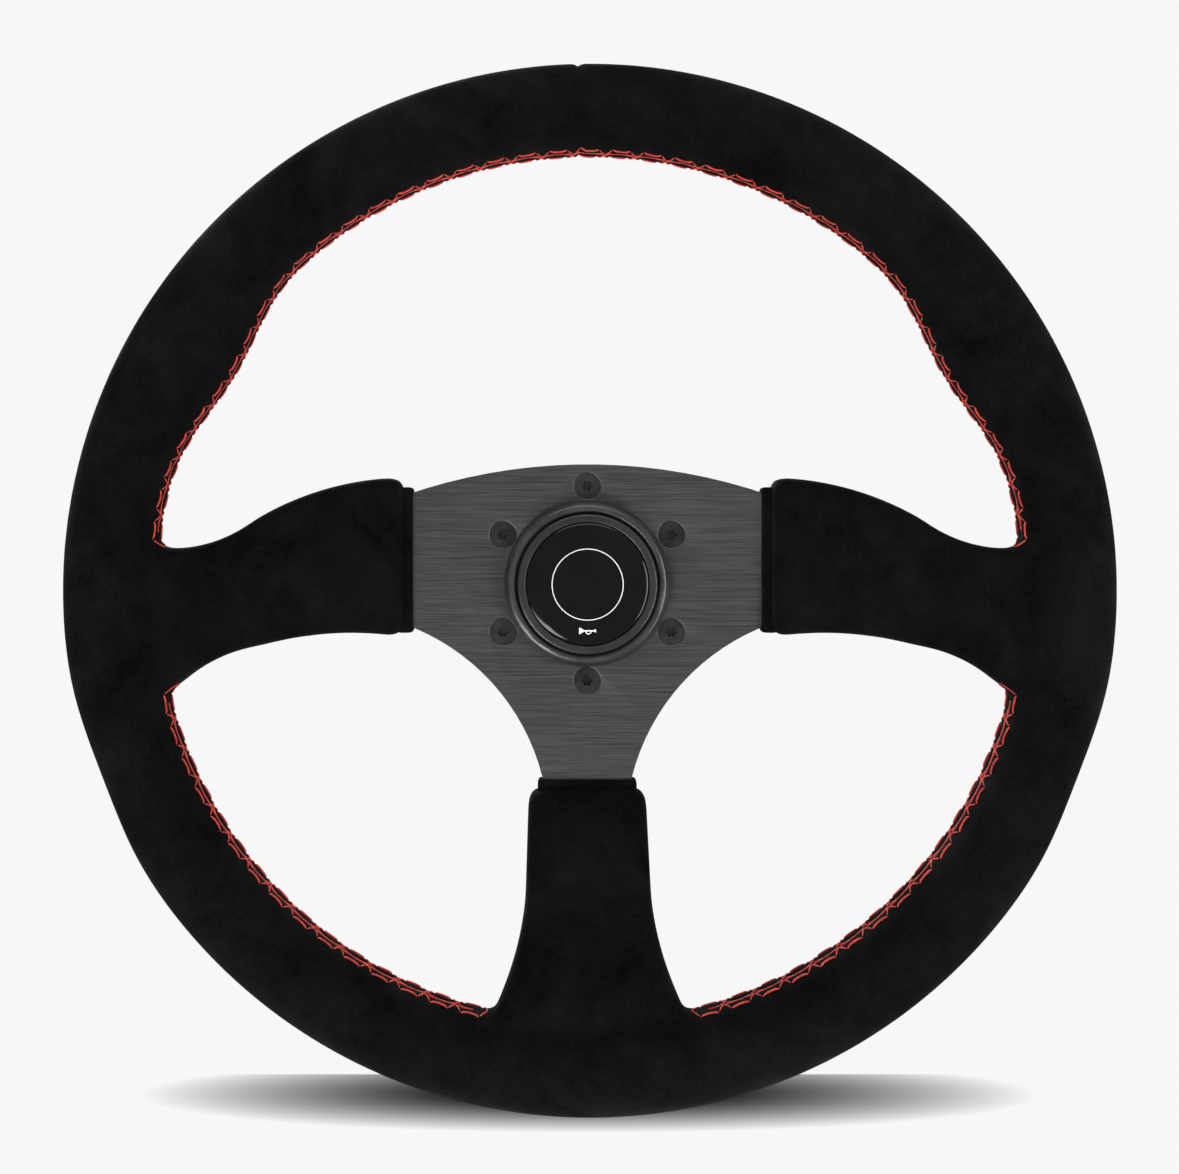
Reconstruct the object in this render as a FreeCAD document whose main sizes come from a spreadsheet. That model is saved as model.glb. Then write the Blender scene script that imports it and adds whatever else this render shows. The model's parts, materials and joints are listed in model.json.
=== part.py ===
"""Quick release steering wheel, modelled as a parametric FreeCAD document in millimetres.

Row frame: +Z is 12 o'clock on the wheel, -Y points at the driver, and the origin is the centre
of the socket's mouth, on the face that seats on the steering column's boss. "Depth" is the
distance from that seat towards the driver, so a point at depth d lies at Y = -d.
"""

import FreeCAD, Part
import math
import os

import Sketcher
from FreeCAD import Placement, Rotation, Vector

SHEET = "Sizes"

# alias, value in millimetres (or degrees, or a count), what it is
SIZES = [
    # rim
    ("wheel_diameter", 350.0, "outside diameter over the suede"),
    ("grip_width", 30.0, "grip section, measured across the wheel's face"),
    ("grip_depth", 31.0, "grip section, measured along the wheel's axis"),
    ("suede_thickness", 1.2, "cover material"),
    ("thumb_swell", 7.0, "how far the thumb rests stand in from the grip"),
    ("thumb_angle", 31.0, "degrees from 3 and 9 o'clock up to the middle of a thumb rest"),
    ("thumb_spread", 16.0, "half the angle that a thumb rest covers"),
    ("heel_relief", 2.0, "how far the outside is relieved below the side spokes"),
    ("heel_angle", 21.0, "degrees from 3 and 9 o'clock down to the middle of a relief"),
    ("heel_spread", 12.0, "half the angle that a relief covers"),
    ("rim_bar_width", 16.0, "flat bar ring inside the grip"),
    ("rim_bar_thickness", 4.0, "flat bar ring inside the grip"),
    ("rivet_radius", 2.5, "rivet shank"),
    ("rivet_head_radius", 4.0, "rivet head"),
    ("rivet_head_height", 1.5, "rivet head"),
    ("rivet_step", 3.0, "degrees from a spoke's middle to each of its rivets"),
    ("side_spoke_drop", 3.0, "degrees that a side spoke's end lies below 3 and 9 o'clock"),
    ("thread_proud", 0.6, "how far the stitching stands off the suede"),
    ("stitch_width", 5.6, "width of the cross stitch across the seam"),
    ("stitch_reach", 6.0, "how far out from the inner edge the stitching's band is kept"),
    ("stitch_joint", 0.84, "round the rim from 12 o'clock to the stitching's end"),
    ("stitch_above_side", 19.5, "round the rim from 3 or 9 o'clock up to the stitching's end"),
    ("stitch_below_side", 44.7, "round the rim from 3 or 9 o'clock down to the stitching's end"),
    ("stitch_beside_lower", 36.3, "round the rim from 6 o'clock to the stitching's end"),
    # spoke plate
    ("plate_thickness", 4.0, "aluminium plate"),
    ("dish", 39.0, "from the plate's face forward to the middle of the rim"),
    ("crown_height", 42.8, "top of the plate above the axis"),
    ("crown_radius", 199.2, "arc along the plate's top edge"),
    ("notch_radius", 78.6, "arc between a side spoke and the lower spoke"),
    ("notch_x", 92.4, "that arc's centre"),
    ("notch_drop", 88.7, "that arc's centre below the axis"),
    ("side_bend_x", 66.0, "where a side spoke starts to rise"),
    ("lower_bend_drop", 74.0, "where the lower spoke starts to rise"),
    ("rise_margin", 22.0, "from there to the middle of the grip every spoke is at the rim's depth"),
    ("spoke_overlap", 6.0, "how far the spokes' ends pass the middle of the grip"),
    ("flat_half_drop", 62.0, "below this the plate follows the lower spoke's bends"),
    ("side_shoulder_x", 69.0, "where a side spoke's edges turn straight"),
    ("tip_land", 4.0, "from there to where a side spoke's edges reach its tip's width"),
    ("side_tip_top", 8.0, "upper edge of a side spoke's tip"),
    ("side_tip_bottom", 16.0, "lower edge of a side spoke's tip, below the axis"),
    ("lower_shoulder_drop", 78.0, "where the lower spoke's edges turn straight"),
    ("lower_tip_half", 12.5, "half the width of the lower spoke's tip"),
    # spoke padding and cuffs
    ("pad_thickness", 3.3, "foam on each face of a spoke"),
    ("cuff_start_x", 62.8, "edge of the side cuffs on the bare plate"),
    ("cuff_start_drop", 70.7, "edge of the lower cuff on the bare plate"),
    ("cuff_width", 5.2, "folded hem at the end of each spoke cover"),
    ("cuff_thickness", 1.5, "folded hem at the end of each spoke cover"),
    ("side_cover_top", 37.2, "side spoke cover's upper edge beside its cuff"),
    ("side_cover_bottom", 18.2, "side spoke cover's lower edge beside its cuff, below the axis"),
    ("side_flare_length", 26.0, "length of the flare of a side spoke's cover"),
    ("side_knee_top", 23.0, "upper edge there"),
    ("side_knee_bottom", 19.3, "lower edge there, below the axis"),
    ("side_root_top", 13.0, "upper edge where a side cover meets the rim"),
    ("side_root_bottom", 32.0, "lower edge where a side cover meets the rim, below the axis"),
    ("root_margin", 21.0, "from the middle of the grip in to where the covers' flares end"),
    ("side_top_arc", 88.0, "rounding of a side cover's upper edge"),
    ("side_bottom_arc", 105.0, "rounding of a side cover's lower edge"),
    ("flare_arc", 42.0, "rounding of the flares into the rim"),
    ("lower_cover_half", 20.3, "half the width of the lower spoke cover beside its cuff"),
    ("lower_flare_length", 31.0, "length of the flare of the lower spoke's cover"),
    ("lower_knee_half", 21.0, "half the width there"),
    ("lower_root_half", 30.0, "half the width where the lower cover meets the rim"),
    # hub of the quick release
    ("flange_diameter", 84.0, "bolting flange"),
    ("flange_thickness", 8.0, "bolting flange"),
    ("ball_stand", 0.438, "how far a locked ball stands out of the nose"),
    ("nose_fillet", 1.2, "bevel between nose and flange"),
    ("edge_break", 0.6, "small bevels"),
    ("pilot_step", 2.0, "how much wider the mouth's smooth bore is than the lock bore"),
    ("pilot_length", 7.0, "length of that bore"),
    ("lock_bore_radius", 16.0, "bore that the locking balls stand into"),
    ("insert_step", 3.0, "how much wider the steel insert is than the lock bore"),
    ("insert_web", 1.68, "metal between the ball pockets and the insert"),
    ("insert_length", 12.0, "steel insert"),
    ("chamber_step", 1.0, "how much wider the chamber in front of the insert is"),
    ("horn_recess", 6.0, "depth of the recess for the horn unit"),
    ("spline_depth", 1.6, "depth of the spline's grooves"),
    ("spline_wall", 4.4, "steel outside the spline's grooves"),
    ("spline_groove", 1.9, "width of a spline groove"),
    ("spline_count", 24.0, "spline grooves"),
    ("key_radius", 1.5, "keys between insert and hub"),
    ("key_length", 9.0, "keys between insert and hub"),
    ("bolt_circle", 70.0, "pitch circle of the hub screws"),
    ("bolt_count", 6.0, "hub screws"),
    ("thread_radius", 2.5, "threaded holes for the hub screws"),
    ("thread_play", 0.05, "radial clearance of a screw in its thread"),
    ("bolt_hole_radius", 2.75, "plain holes through the plate"),
    ("screw_head_radius", 4.7, "countersunk head"),
    ("screw_head_land", 0.2, "straight edge of a countersunk head"),
    ("screw_length", 11.6, "hub screw, overall"),
    ("screw_sink", 0.15, "how far a head lies below the plate's face"),
    ("drive_radius", 1.45, "core of the six-lobed drive in a screw head"),
    ("drive_lobe_radius", 0.52, "one lobe of that drive"),
    ("drive_depth", 1.7, "depth of that drive"),
    # release collar, balls and clip
    ("ball_radius", 3.969, "locking ball, 5/16 inch"),
    ("ball_count", 6.0, "locking balls"),
    ("ball_depth", 18.5, "depth of the ring of balls"),
    ("ball_bite", 1.5, "how far a locked ball stands into the bore"),
    ("ball_slope", 0.2, "ball travel over collar travel, the slope of the collar's cone"),
    ("ball_play", 0.03, "clearance between a ball and the cone"),
    ("pocket_lip", 0.149, "how much smaller a pocket's mouth is than a ball"),
    ("pocket_slope", 0.105, "taper of a ball pocket"),
    ("stop_play", 0.1, "gap between the collar at rest and its stop clip"),
    ("spring_pocket_length", 8.0, "depth of the collar's spring pocket"),
    ("collar_travel", 8.0, "how far the collar slides to unlock"),
    ("collar_end_play", 2.0, "room left in front of the collar when it is pulled"),
    ("collar_play", 0.05, "clearance of the collar on the nose"),
    ("collar_lip_play", 0.4, "clearance of the collar's rear lip round the nose"),
    ("collar_lip_length", 2.0, "collar's rear lip"),
    ("cone_rear", 8.0, "depth of the wide end of the collar's cone"),
    ("collar_web", 6.5, "from the ring of balls forward to that pocket's bottom"),
    ("spring_pocket_room", 5.0, "from the nose out to that pocket's wall"),
    ("collar_stand", 9.0, "from the nose out to the collar's lips"),
    ("waist_depth", 2.2, "finger groove of the collar"),
    ("grip_ring_radius", 0.7, "each turned groove in the collar's waist"),
    ("grip_ring_step", 3.2, "pitch of the turned grooves"),
    ("clip_depth", 2.7, "depth of the stop clip's rear face"),
    ("clip_thickness", 1.2, "stop clip"),
    ("clip_groove_depth", 1.1, "stop clip's groove"),
    ("clip_stand", 2.4, "how far the stop clip stands out of the nose"),
    ("clip_gap", 5.0, "opening of the stop clip"),
    ("spring_wire", 1.6, "collar spring's wire"),
    ("spring_room", 2.5, "from the nose out to the middle of the collar spring's wire"),
    ("spring_turns", 4.0, "collar spring"),
    # horn contact on the axis
    ("carrier_disc", 2.5, "thickness of the contact carrier's disc"),
    ("carrier_play", 0.1, "clearance round the carrier"),
    ("tower_radius", 7.0, "carrier's tower"),
    ("tower_height", 8.0, "carrier, overall"),
    ("plunger_bore_radius", 4.2, "bore in the tower"),
    ("plunger_floor", 1.5, "floor under that bore"),
    ("plunger_roof", 0.8, "wall over that bore"),
    ("pin_radius", 2.4, "contact pin"),
    ("pin_flange_radius", 3.9, "contact pin's flange"),
    ("pin_flange_thickness", 1.5, "contact pin's flange"),
    ("pin_tip", 6.5, "how far the pin stands out behind the carrier"),
    ("pin_play", 0.2, "clearance round the pin"),
    ("pin_travel", 2.0, "contact pin's travel"),
    ("pin_spring_wire", 0.6, "contact pin's spring"),
    ("pin_spring_radius", 2.9, "contact pin's spring, mean radius"),
    ("pin_spring_turns", 2.0, "contact pin's spring"),
    ("carrier_clip_thickness", 1.0, "ring that holds the carrier"),
    ("carrier_clip_reach", 1.6, "how far the carrier's ring stands into the chamber"),
    ("carrier_clip_bite", 0.8, "how far it lies in its groove"),
    # horn unit
    ("horn_bore_radius", 27.5, "hole through the plate and recess in the flange"),
    ("horn_play", 0.1, "clearance of the bezel and base in that hole"),
    ("bezel_overlap", 2.3, "how far the bezel's flange laps over the plate"),
    ("bezel_height", 5.4, "bezel above the plate"),
    ("bezel_wall", 1.1, "bezel's skirt"),
    ("bezel_lip", 1.0, "how far the bezel's lip stands in"),
    ("bezel_ledge", 2.5, "underside of the bezel's lip above the plate"),
    ("button_gap", 0.3, "clearance of the button in its bezel"),
    ("button_height", 7.0, "button above the plate"),
    ("button_wall", 1.8, "button's wall"),
    ("button_web", 2.2, "button's web under the emblem"),
    ("button_skirt", 0.5, "button's lower edge behind the plate's face"),
    ("button_travel", 2.0, "horn stroke"),
    ("emblem_border", 3.0, "button's face round the emblem's recess"),
    ("emblem_seat_depth", 1.2, "recess for the emblem"),
    ("emblem_play", 0.2, "clearance round the emblem"),
    ("emblem_disc_thickness", 0.4, "backing disc"),
    ("dome_edge", 0.6, "emblem dome's thickness at its edge"),
    ("dome_height", 2.2, "emblem dome's thickness in the middle"),
    ("base_thickness", 3.0, "horn base"),
    ("base_post_room", 3.0, "from the horn spring's wire in to the post inside it"),
    ("base_post_height", 5.0, "post inside the horn spring"),
    ("horn_spring_wire", 1.0, "horn spring"),
    ("horn_spring_room", 2.5, "from the moving contact's hole in to the horn spring's wire"),
    ("horn_spring_turns", 4.0, "horn spring"),
    ("contact_thickness", 0.6, "brass contacts"),
    ("contact_face", 6.0, "width of the contact faces"),
    ("contact_room", 3.2, "clearance of the contacts inside the button's wall"),
    ("contact_gap", 2.1, "open gap between the contacts"),
    ("contact_roof", 3.5, "width of the moving contact's top"),
    ("terminal_width", 6.3, "spade terminal"),
    ("terminal_thickness", 0.8, "spade terminal"),
    ("terminal_inset", 4.0, "from the contacts' edge in to a spade terminal"),
    ("terminal_length", 5.5, "spade terminal behind the base"),
]

FULL_TURN = 360.0
SEAM_POLES_ROUND = 72
SEAM_POLES_ACROSS = 16


class Size:
    """A length with its value and the sheet expression that keeps it tied to the sizes."""

    def __init__(self, value, text):
        self.value = value
        self.text = text

    @staticmethod
    def of(other):
        return other if isinstance(other, Size) else Size(float(other), repr(float(other)))

    def joined(self, other, sign, value):
        return Size(value, f"({self.text} {sign} {Size.of(other).text})")

    def __add__(self, other):
        return self.joined(other, "+", self.value + Size.of(other).value)

    def __sub__(self, other):
        return self.joined(other, "-", self.value - Size.of(other).value)

    def __mul__(self, other):
        return self.joined(other, "*", self.value * Size.of(other).value)

    def __truediv__(self, other):
        return self.joined(other, "/", self.value / Size.of(other).value)

    def __neg__(self):
        return Size(-self.value, f"(0 - {self.text})")

    def root(self):
        return Size(math.sqrt(self.value), f"sqrt({self.text})")

    def bind(self, target, path):
        target.setExpression(path, self.text)


class Sizes:
    """The sheet's sizes as attributes."""

    def __init__(self, doc):
        sheet = doc.addObject("Spreadsheet::Sheet", SHEET)
        for row, (alias, value, note) in enumerate(SIZES, start=1):
            sheet.set(f"A{row}", str(value))
            sheet.setAlias(f"A{row}", alias)
            sheet.set(f"B{row}", note)
            setattr(self, alias, Size(value, f"{SHEET}.{alias}"))


doc = FreeCAD.newDocument("steering_wheel")
s = Sizes(doc)
doc.recompute()

# Depths and radii that several sub-parts share, from the ball lock outwards.
ball_centre = s.lock_bore_radius - s.ball_bite + s.ball_radius
nose_radius = ball_centre + s.ball_radius - s.ball_stand
pocket_mouth = s.ball_radius - s.pocket_lip
pilot_radius = s.lock_bore_radius + s.pilot_step
clip_face = s.clip_depth + s.clip_thickness
clip_groove_radius = nose_radius - s.clip_groove_depth
clip_radius = nose_radius + s.clip_stand
collar_rear = clip_face + s.stop_play
collar_radius = nose_radius + s.collar_stand
collar_waist_radius = collar_radius - s.waist_depth
spring_pocket_depth = s.ball_depth + s.collar_web
collar_front = spring_pocket_depth + s.spring_pocket_length
flange_back = collar_front + s.collar_travel + s.collar_end_play
hub_length = flange_back + s.flange_thickness
flange_radius = s.flange_diameter / 2
recess_floor = hub_length - s.horn_recess

insert_radius = s.lock_bore_radius + s.insert_step
insert_start = s.ball_depth + pocket_mouth + s.insert_web
insert_face = insert_start + s.insert_length
spline_major_radius = insert_radius - s.spline_wall
spline_minor_radius = spline_major_radius - s.spline_depth
chamber_radius = insert_radius + s.chamber_step
clip_back = insert_face + s.carrier_disc + s.carrier_play
clip_front = clip_back + s.carrier_clip_thickness
carrier_clip_inner = chamber_radius - s.carrier_clip_reach
carrier_clip_outer = chamber_radius + s.carrier_clip_bite

plate_face = hub_length + s.plate_thickness
bolt_radius = s.bolt_circle / 2
countersink_radius = s.screw_head_radius + s.screw_head_land + s.screw_sink

rim_depth = plate_face + s.dish
rim_radius = s.wheel_diameter / 2 - s.grip_width / 2
spoke_end_radius = rim_radius + s.spoke_overlap
rise_end = rim_radius - s.rise_margin
side_tip_x = rise_end + s.tip_land
cover_root = rim_radius - s.root_margin
side_knee_x = cover_root - s.side_flare_length
lower_knee_drop = cover_root - s.lower_flare_length

base_face = recess_floor + s.base_thickness
bezel_radius = s.horn_bore_radius + s.bezel_overlap
bezel_bore_radius = s.horn_bore_radius - s.horn_play - s.bezel_wall
bezel_lip_radius = bezel_bore_radius - s.bezel_lip
button_face = plate_face + s.button_height
button_lip_radius = bezel_bore_radius - s.button_gap
button_outer = bezel_lip_radius - s.button_gap
button_inner = button_outer - s.button_wall
emblem_seat_radius = button_outer - s.emblem_border
emblem_floor = button_face - s.emblem_seat_depth
button_underside = emblem_floor - s.button_web
contact_outer = button_inner - s.contact_room
contact_inner = contact_outer - s.contact_face
contact_root = contact_inner - s.contact_roof
horn_spring_radius = contact_root - s.horn_spring_room
terminal_x = contact_outer - s.terminal_inset


# ---------------------------------------------------------------- sketch and feature helpers


def new_body(label):
    body = doc.addObject("PartDesign::Body", label)
    body.Label = label
    doc.recompute()
    return body


def origin_item(body, role):
    return next(f for f in body.Origin.OriginFeatures if f.Role == role)


def new_sketch(body, name, plane, offset=None):
    """A sketch on one of the body's own origin planes, moved along its normal by offset."""
    sketch = body.newObject("Sketcher::SketchObject", f"{body.Name}_{name}")
    sketch.AttachmentSupport = (origin_item(body, plane), [""])
    sketch.MapMode = "FlatFace"
    if offset is not None:
        offset.bind(sketch, "AttachmentOffset.Base.z")
    return sketch


def hold(sketch, kind, geometry, point, size):
    """Ties one coordinate of a point to the sheet, or to the axis where it is zero."""
    if abs(size.value) < 1e-9:
        axis = -2 if kind == "DistanceX" else -1
        sketch.addConstraint(Sketcher.Constraint("PointOnObject", geometry, point, axis))
        return
    index = sketch.addConstraint(Sketcher.Constraint(kind, -1, 1, geometry, point, size.value))
    size.bind(sketch, f"Constraints[{index}]")


def arc_between(start, end, radius):
    """The short arc joining two points. A positive radius bulges to the right of the way."""
    first, last = (start, end) if radius > 0 else (end, start)
    way = last - first
    left = Vector(-way.y, way.x, 0).normalize()
    rise = math.sqrt(radius * radius - way.Length * way.Length / 4)
    centre = (first + last) * 0.5 + left * rise
    circle = Part.Circle(centre, Vector(0, 0, 1), abs(radius))
    low = math.atan2(first.y - centre.y, first.x - centre.x)
    high = math.atan2(last.y - centre.y, last.x - centre.x)
    return Part.ArcOfCircle(circle, low, high if high > low else high + 2 * math.pi)


def draw_outline(sketch, corners, arcs=None):
    """Closes a loop through corners, each a pair of sizes. arcs gives, for the stretch after a
    corner's index, an arc's radius; its sign says to which side the arc bulges."""
    arcs = arcs or {}
    corners = [(Size.of(x), Size.of(y)) for x, y in corners]
    points = [Vector(x.value, y.value, 0) for x, y in corners]
    first = sketch.GeometryCount
    ends = []
    for i, start in enumerate(points):
        end = points[(i + 1) % len(points)]
        if i in arcs:
            radius = arcs[i].value
            sketch.addGeometry(arc_between(start, end, radius), False)
            ends.append((1, 2) if radius > 0 else (2, 1))
        else:
            sketch.addGeometry(Part.LineSegment(start, end), False)
            ends.append((1, 2))
    for i, (x, y) in enumerate(corners):
        before = (i - 1) % len(corners)
        link = (first + before, ends[before][1], first + i, ends[i][0])
        sketch.addConstraint(Sketcher.Constraint("Coincident", *link))
        hold(sketch, "DistanceX", first + i, ends[i][0], x)
        hold(sketch, "DistanceY", first + i, ends[i][0], y)
    for i, radius in arcs.items():
        index = sketch.addConstraint(
            Sketcher.Constraint("Radius", first + i, abs(radius.value))
        )
        (radius if radius.value > 0 else -radius).bind(sketch, f"Constraints[{index}]")


def draw_circle(sketch, x, y, radius):
    x, y = Size.of(x), Size.of(y)
    centre = Vector(x.value, y.value, 0)
    index = sketch.addGeometry(Part.Circle(centre, Vector(0, 0, 1), radius.value), False)
    hold(sketch, "DistanceX", index, 3, x)
    hold(sketch, "DistanceY", index, 3, y)
    datum = sketch.addConstraint(Sketcher.Constraint("Radius", index, radius.value))
    radius.bind(sketch, f"Constraints[{datum}]")


def turned(body, name, profile, arcs=None, kind="PartDesign::Revolution"):
    """Turns a profile of (radius, depth) pairs about the wheel's axis."""
    sketch = new_sketch(body, f"{name}_profile", "XY_Plane")
    draw_outline(sketch, [(radius, -Size.of(depth)) for radius, depth in profile], arcs)
    feature = body.newObject(kind, f"{body.Name}_{name}")
    feature.Profile = sketch
    feature.ReferenceAxis = (sketch, ["V_Axis"])
    feature.Angle = FULL_TURN
    return feature


def bored(body, name, depth, draw):
    """Pockets what draw puts in a face-on sketch at a depth, all the way towards the driver."""
    doc.recompute()
    before = body.Shape.Volume
    sketch = new_sketch(body, f"{name}_sketch", "XZ_Plane", depth)
    draw(sketch)
    pocket = body.newObject("PartDesign::Pocket", f"{body.Name}_{name}")
    pocket.Profile = sketch
    pocket.Type = "ThroughAll"
    pocket.Reversed = True
    doc.recompute()
    if not body.Shape.Volume < before - 1e-6:
        raise RuntimeError(f"{pocket.Name} cut nothing")
    return pocket


def repeated(body, feature, name, count):
    """Repeats a feature round the wheel's axis, count times."""
    pattern = body.newObject("PartDesign::PolarPattern", f"{body.Name}_{name}")
    pattern.Originals = [feature]
    pattern.Axis = (origin_item(body, "Y_Axis"), [""])
    pattern.Angle = FULL_TURN
    pattern.Occurrences = int(count.value)
    count.bind(pattern, "Occurrences")
    body.Tip = pattern
    return pattern


def boolean(kind, label, base, tool):
    feature = doc.addObject(f"Part::{kind}", label)
    feature.Label = label
    feature.Base = base
    feature.Tool = tool
    doc.recompute()
    return feature


def cut(label, base, *tools):
    """base less every tool, as a chain of cuts whose last one carries the label."""
    for i, tool in enumerate(tools):
        name = label if i == len(tools) - 1 else f"{label}_step_{i + 1}"
        base = boolean("Cut", name, base, tool)
    return base


# ---------------------------------------------------------------- rim


def bump(degrees, middle, spread):
    """A smooth hump of height 1 that reaches spread degrees to each side of middle."""
    away = abs((degrees - middle + 180.0) % FULL_TURN - 180.0)
    return 0.5 * (1 + math.cos(math.pi * away / spread)) if away < spread else 0.0


def grip_solid(label, inset):
    """The grip's closed surface, inset from the suede's outside, as a periodic spline solid."""
    around, across = SEAM_POLES_ROUND, SEAM_POLES_ACROSS
    pull_round = (2 + math.cos(2 * math.pi / around)) / 3
    pull_across = (2 + math.cos(2 * math.pi / across)) / 3
    thumb, heel = s.thumb_angle.value, s.heel_angle.value
    poles = []
    for i in range(around):
        angle = FULL_TURN * i / around
        swell = sum(bump(angle, middle, s.thumb_spread.value) for middle in (thumb, 180 - thumb))
        relief = sum(bump(angle, middle, s.heel_spread.value) for middle in (-heel, 180 + heel))
        inner = s.grip_width.value / 2 - inset + s.thumb_swell.value * swell
        outer = s.grip_width.value / 2 - inset - s.heel_relief.value * relief
        row = []
        for j in range(across):
            turn = 2 * math.pi * j / across
            half_width = outer if math.cos(turn) > 0 else inner
            radius = (rim_radius.value + half_width * math.cos(turn) / pull_across) / pull_round
            rise = (s.grip_depth.value / 2 - inset) * math.sin(turn) / pull_across
            x = radius * math.cos(math.radians(angle))
            z = radius * math.sin(math.radians(angle))
            row.append(Vector(x, -rim_depth.value - rise, z))
        poles.append(row)
    surface = Part.BSplineSurface()
    surface.buildFromPolesMultsKnots(
        poles,
        [1] * (around + 1),
        [1] * (across + 1),
        list(range(around + 1)),
        list(range(across + 1)),
        True,
        True,
        3,
        3,
    )
    solid = Part.Solid(Part.Shell([surface.toShape()]))
    if solid.Volume < 0:
        solid.reverse()
    feature = doc.addObject("Part::Feature", label)
    feature.Label = label
    feature.Shape = solid
    feature.Placement = Placement()
    return feature


def rim_ring():
    """The flat bar ring that the spokes are riveted to."""
    body = new_body("ring_blank")
    inner = rim_radius - s.rim_bar_width / 2
    outer = rim_radius + s.rim_bar_width / 2
    front = rim_depth + s.rim_bar_thickness
    turned(body, "bar", [(inner, rim_depth), (outer, rim_depth), (outer, front), (inner, front)])
    return body


def rim_rivets():
    """Two rivets through each spoke's end and the ring."""
    back = rim_depth.value - s.plate_thickness.value - s.rivet_head_height.value
    grip = s.plate_thickness.value + s.rim_bar_thickness.value
    head = s.rivet_head_height.value
    middles = (-s.side_spoke_drop.value, 180 + s.side_spoke_drop.value, 270.0)
    axis = Vector(0, -1, 0)
    rivets = []
    for middle in middles:
        for side in (-1, 1):
            angle = math.radians(middle + side * s.rivet_step.value)
            foot = Vector(
                rim_radius.value * math.cos(angle), -back, rim_radius.value * math.sin(angle)
            )
            shank = Part.makeCylinder(s.rivet_radius.value, grip + 2 * head, foot, axis)
            rear = Part.makeCylinder(s.rivet_head_radius.value, head, foot, axis)
            front = Part.makeCylinder(
                s.rivet_head_radius.value, head, foot + axis * (grip + head), axis
            )
            rivets.append(shank.fuse([rear, front]).removeSplitter().Solids[0])
    feature = doc.addObject("Part::Feature", "rim_rivets")
    feature.Label = "rim_rivets"
    feature.Shape = Part.makeCompound(rivets)
    feature.Placement = Placement()
    return feature


# ---------------------------------------------------------------- spoke plate and padding


def bend_tangent(start):
    """tan of half the bend angle of a spoke that starts to rise at this distance."""
    run = rise_end - start
    slope = (run * run + s.dish * s.dish).root()
    return (slope - run) / s.dish


def band_side(start, offset, depth_sign, reach):
    """Points of a line parallel to a spoke's face, offset towards the driver."""
    tangent = bend_tangent(start)
    shift = offset * tangent
    near = depth_sign * (plate_face + offset)
    far = depth_sign * (plate_face + s.dish + offset)
    return [(start - shift, near), (rise_end - shift, far), (reach, far)]


def spoke_slab(body, rear, front):
    """A dished slab that follows the bent spokes, from rear to front of the plate's face."""
    reach = Size.of(s.wheel_diameter / 2)
    one = Size.of(-1.0)
    fore = band_side(s.side_bend_x, front, one, reach)
    aft = band_side(s.side_bend_x, rear, one, reach)
    right = fore + aft[::-1]
    left = [(-x, y) for x, y in aft] + [(-x, y) for x, y in fore[::-1]]
    sketch = new_sketch(body, "side_profile", "XY_Plane", -s.flat_half_drop)
    draw_outline(sketch, right + left)
    side = body.newObject("PartDesign::Pad", f"{body.Name}_side_slab")
    side.Profile = sketch
    (s.flat_half_drop + s.crown_height + s.pad_thickness * 2).bind(side, "Length")
    doc.recompute()

    fore = band_side(s.lower_bend_drop, front, one, reach)
    aft = band_side(s.lower_bend_drop, rear, one, reach)
    inner_front = (s.flat_half_drop - s.plate_thickness, -(plate_face + front))
    inner_rear = (s.flat_half_drop - s.plate_thickness, -(plate_face + rear))
    loop = [inner_front] + fore + aft[::-1] + [inner_rear]
    half = s.notch_x / 2
    sketch = new_sketch(body, "lower_profile", "YZ_Plane", -half)
    draw_outline(sketch, [(y, -drop) for drop, y in loop])
    lower = body.newObject("PartDesign::Pad", f"{body.Name}_lower_slab")
    lower.Profile = sketch
    s.notch_x.bind(lower, "Length")
    doc.recompute()


def keep_inside(body, name, corners, arcs):
    """Cuts away everything outside an outline seen face-on."""

    def draw(sketch):
        draw_circle(sketch, 0, 0, s.wheel_diameter)
        draw_outline(sketch, corners, arcs)

    return bored(body, name, None, draw)


def arc_height(centre, radius, across, sign):
    """Where an arc lies at a distance across from its centre."""
    return centre + (radius * radius - across * across).root() * sign


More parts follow.
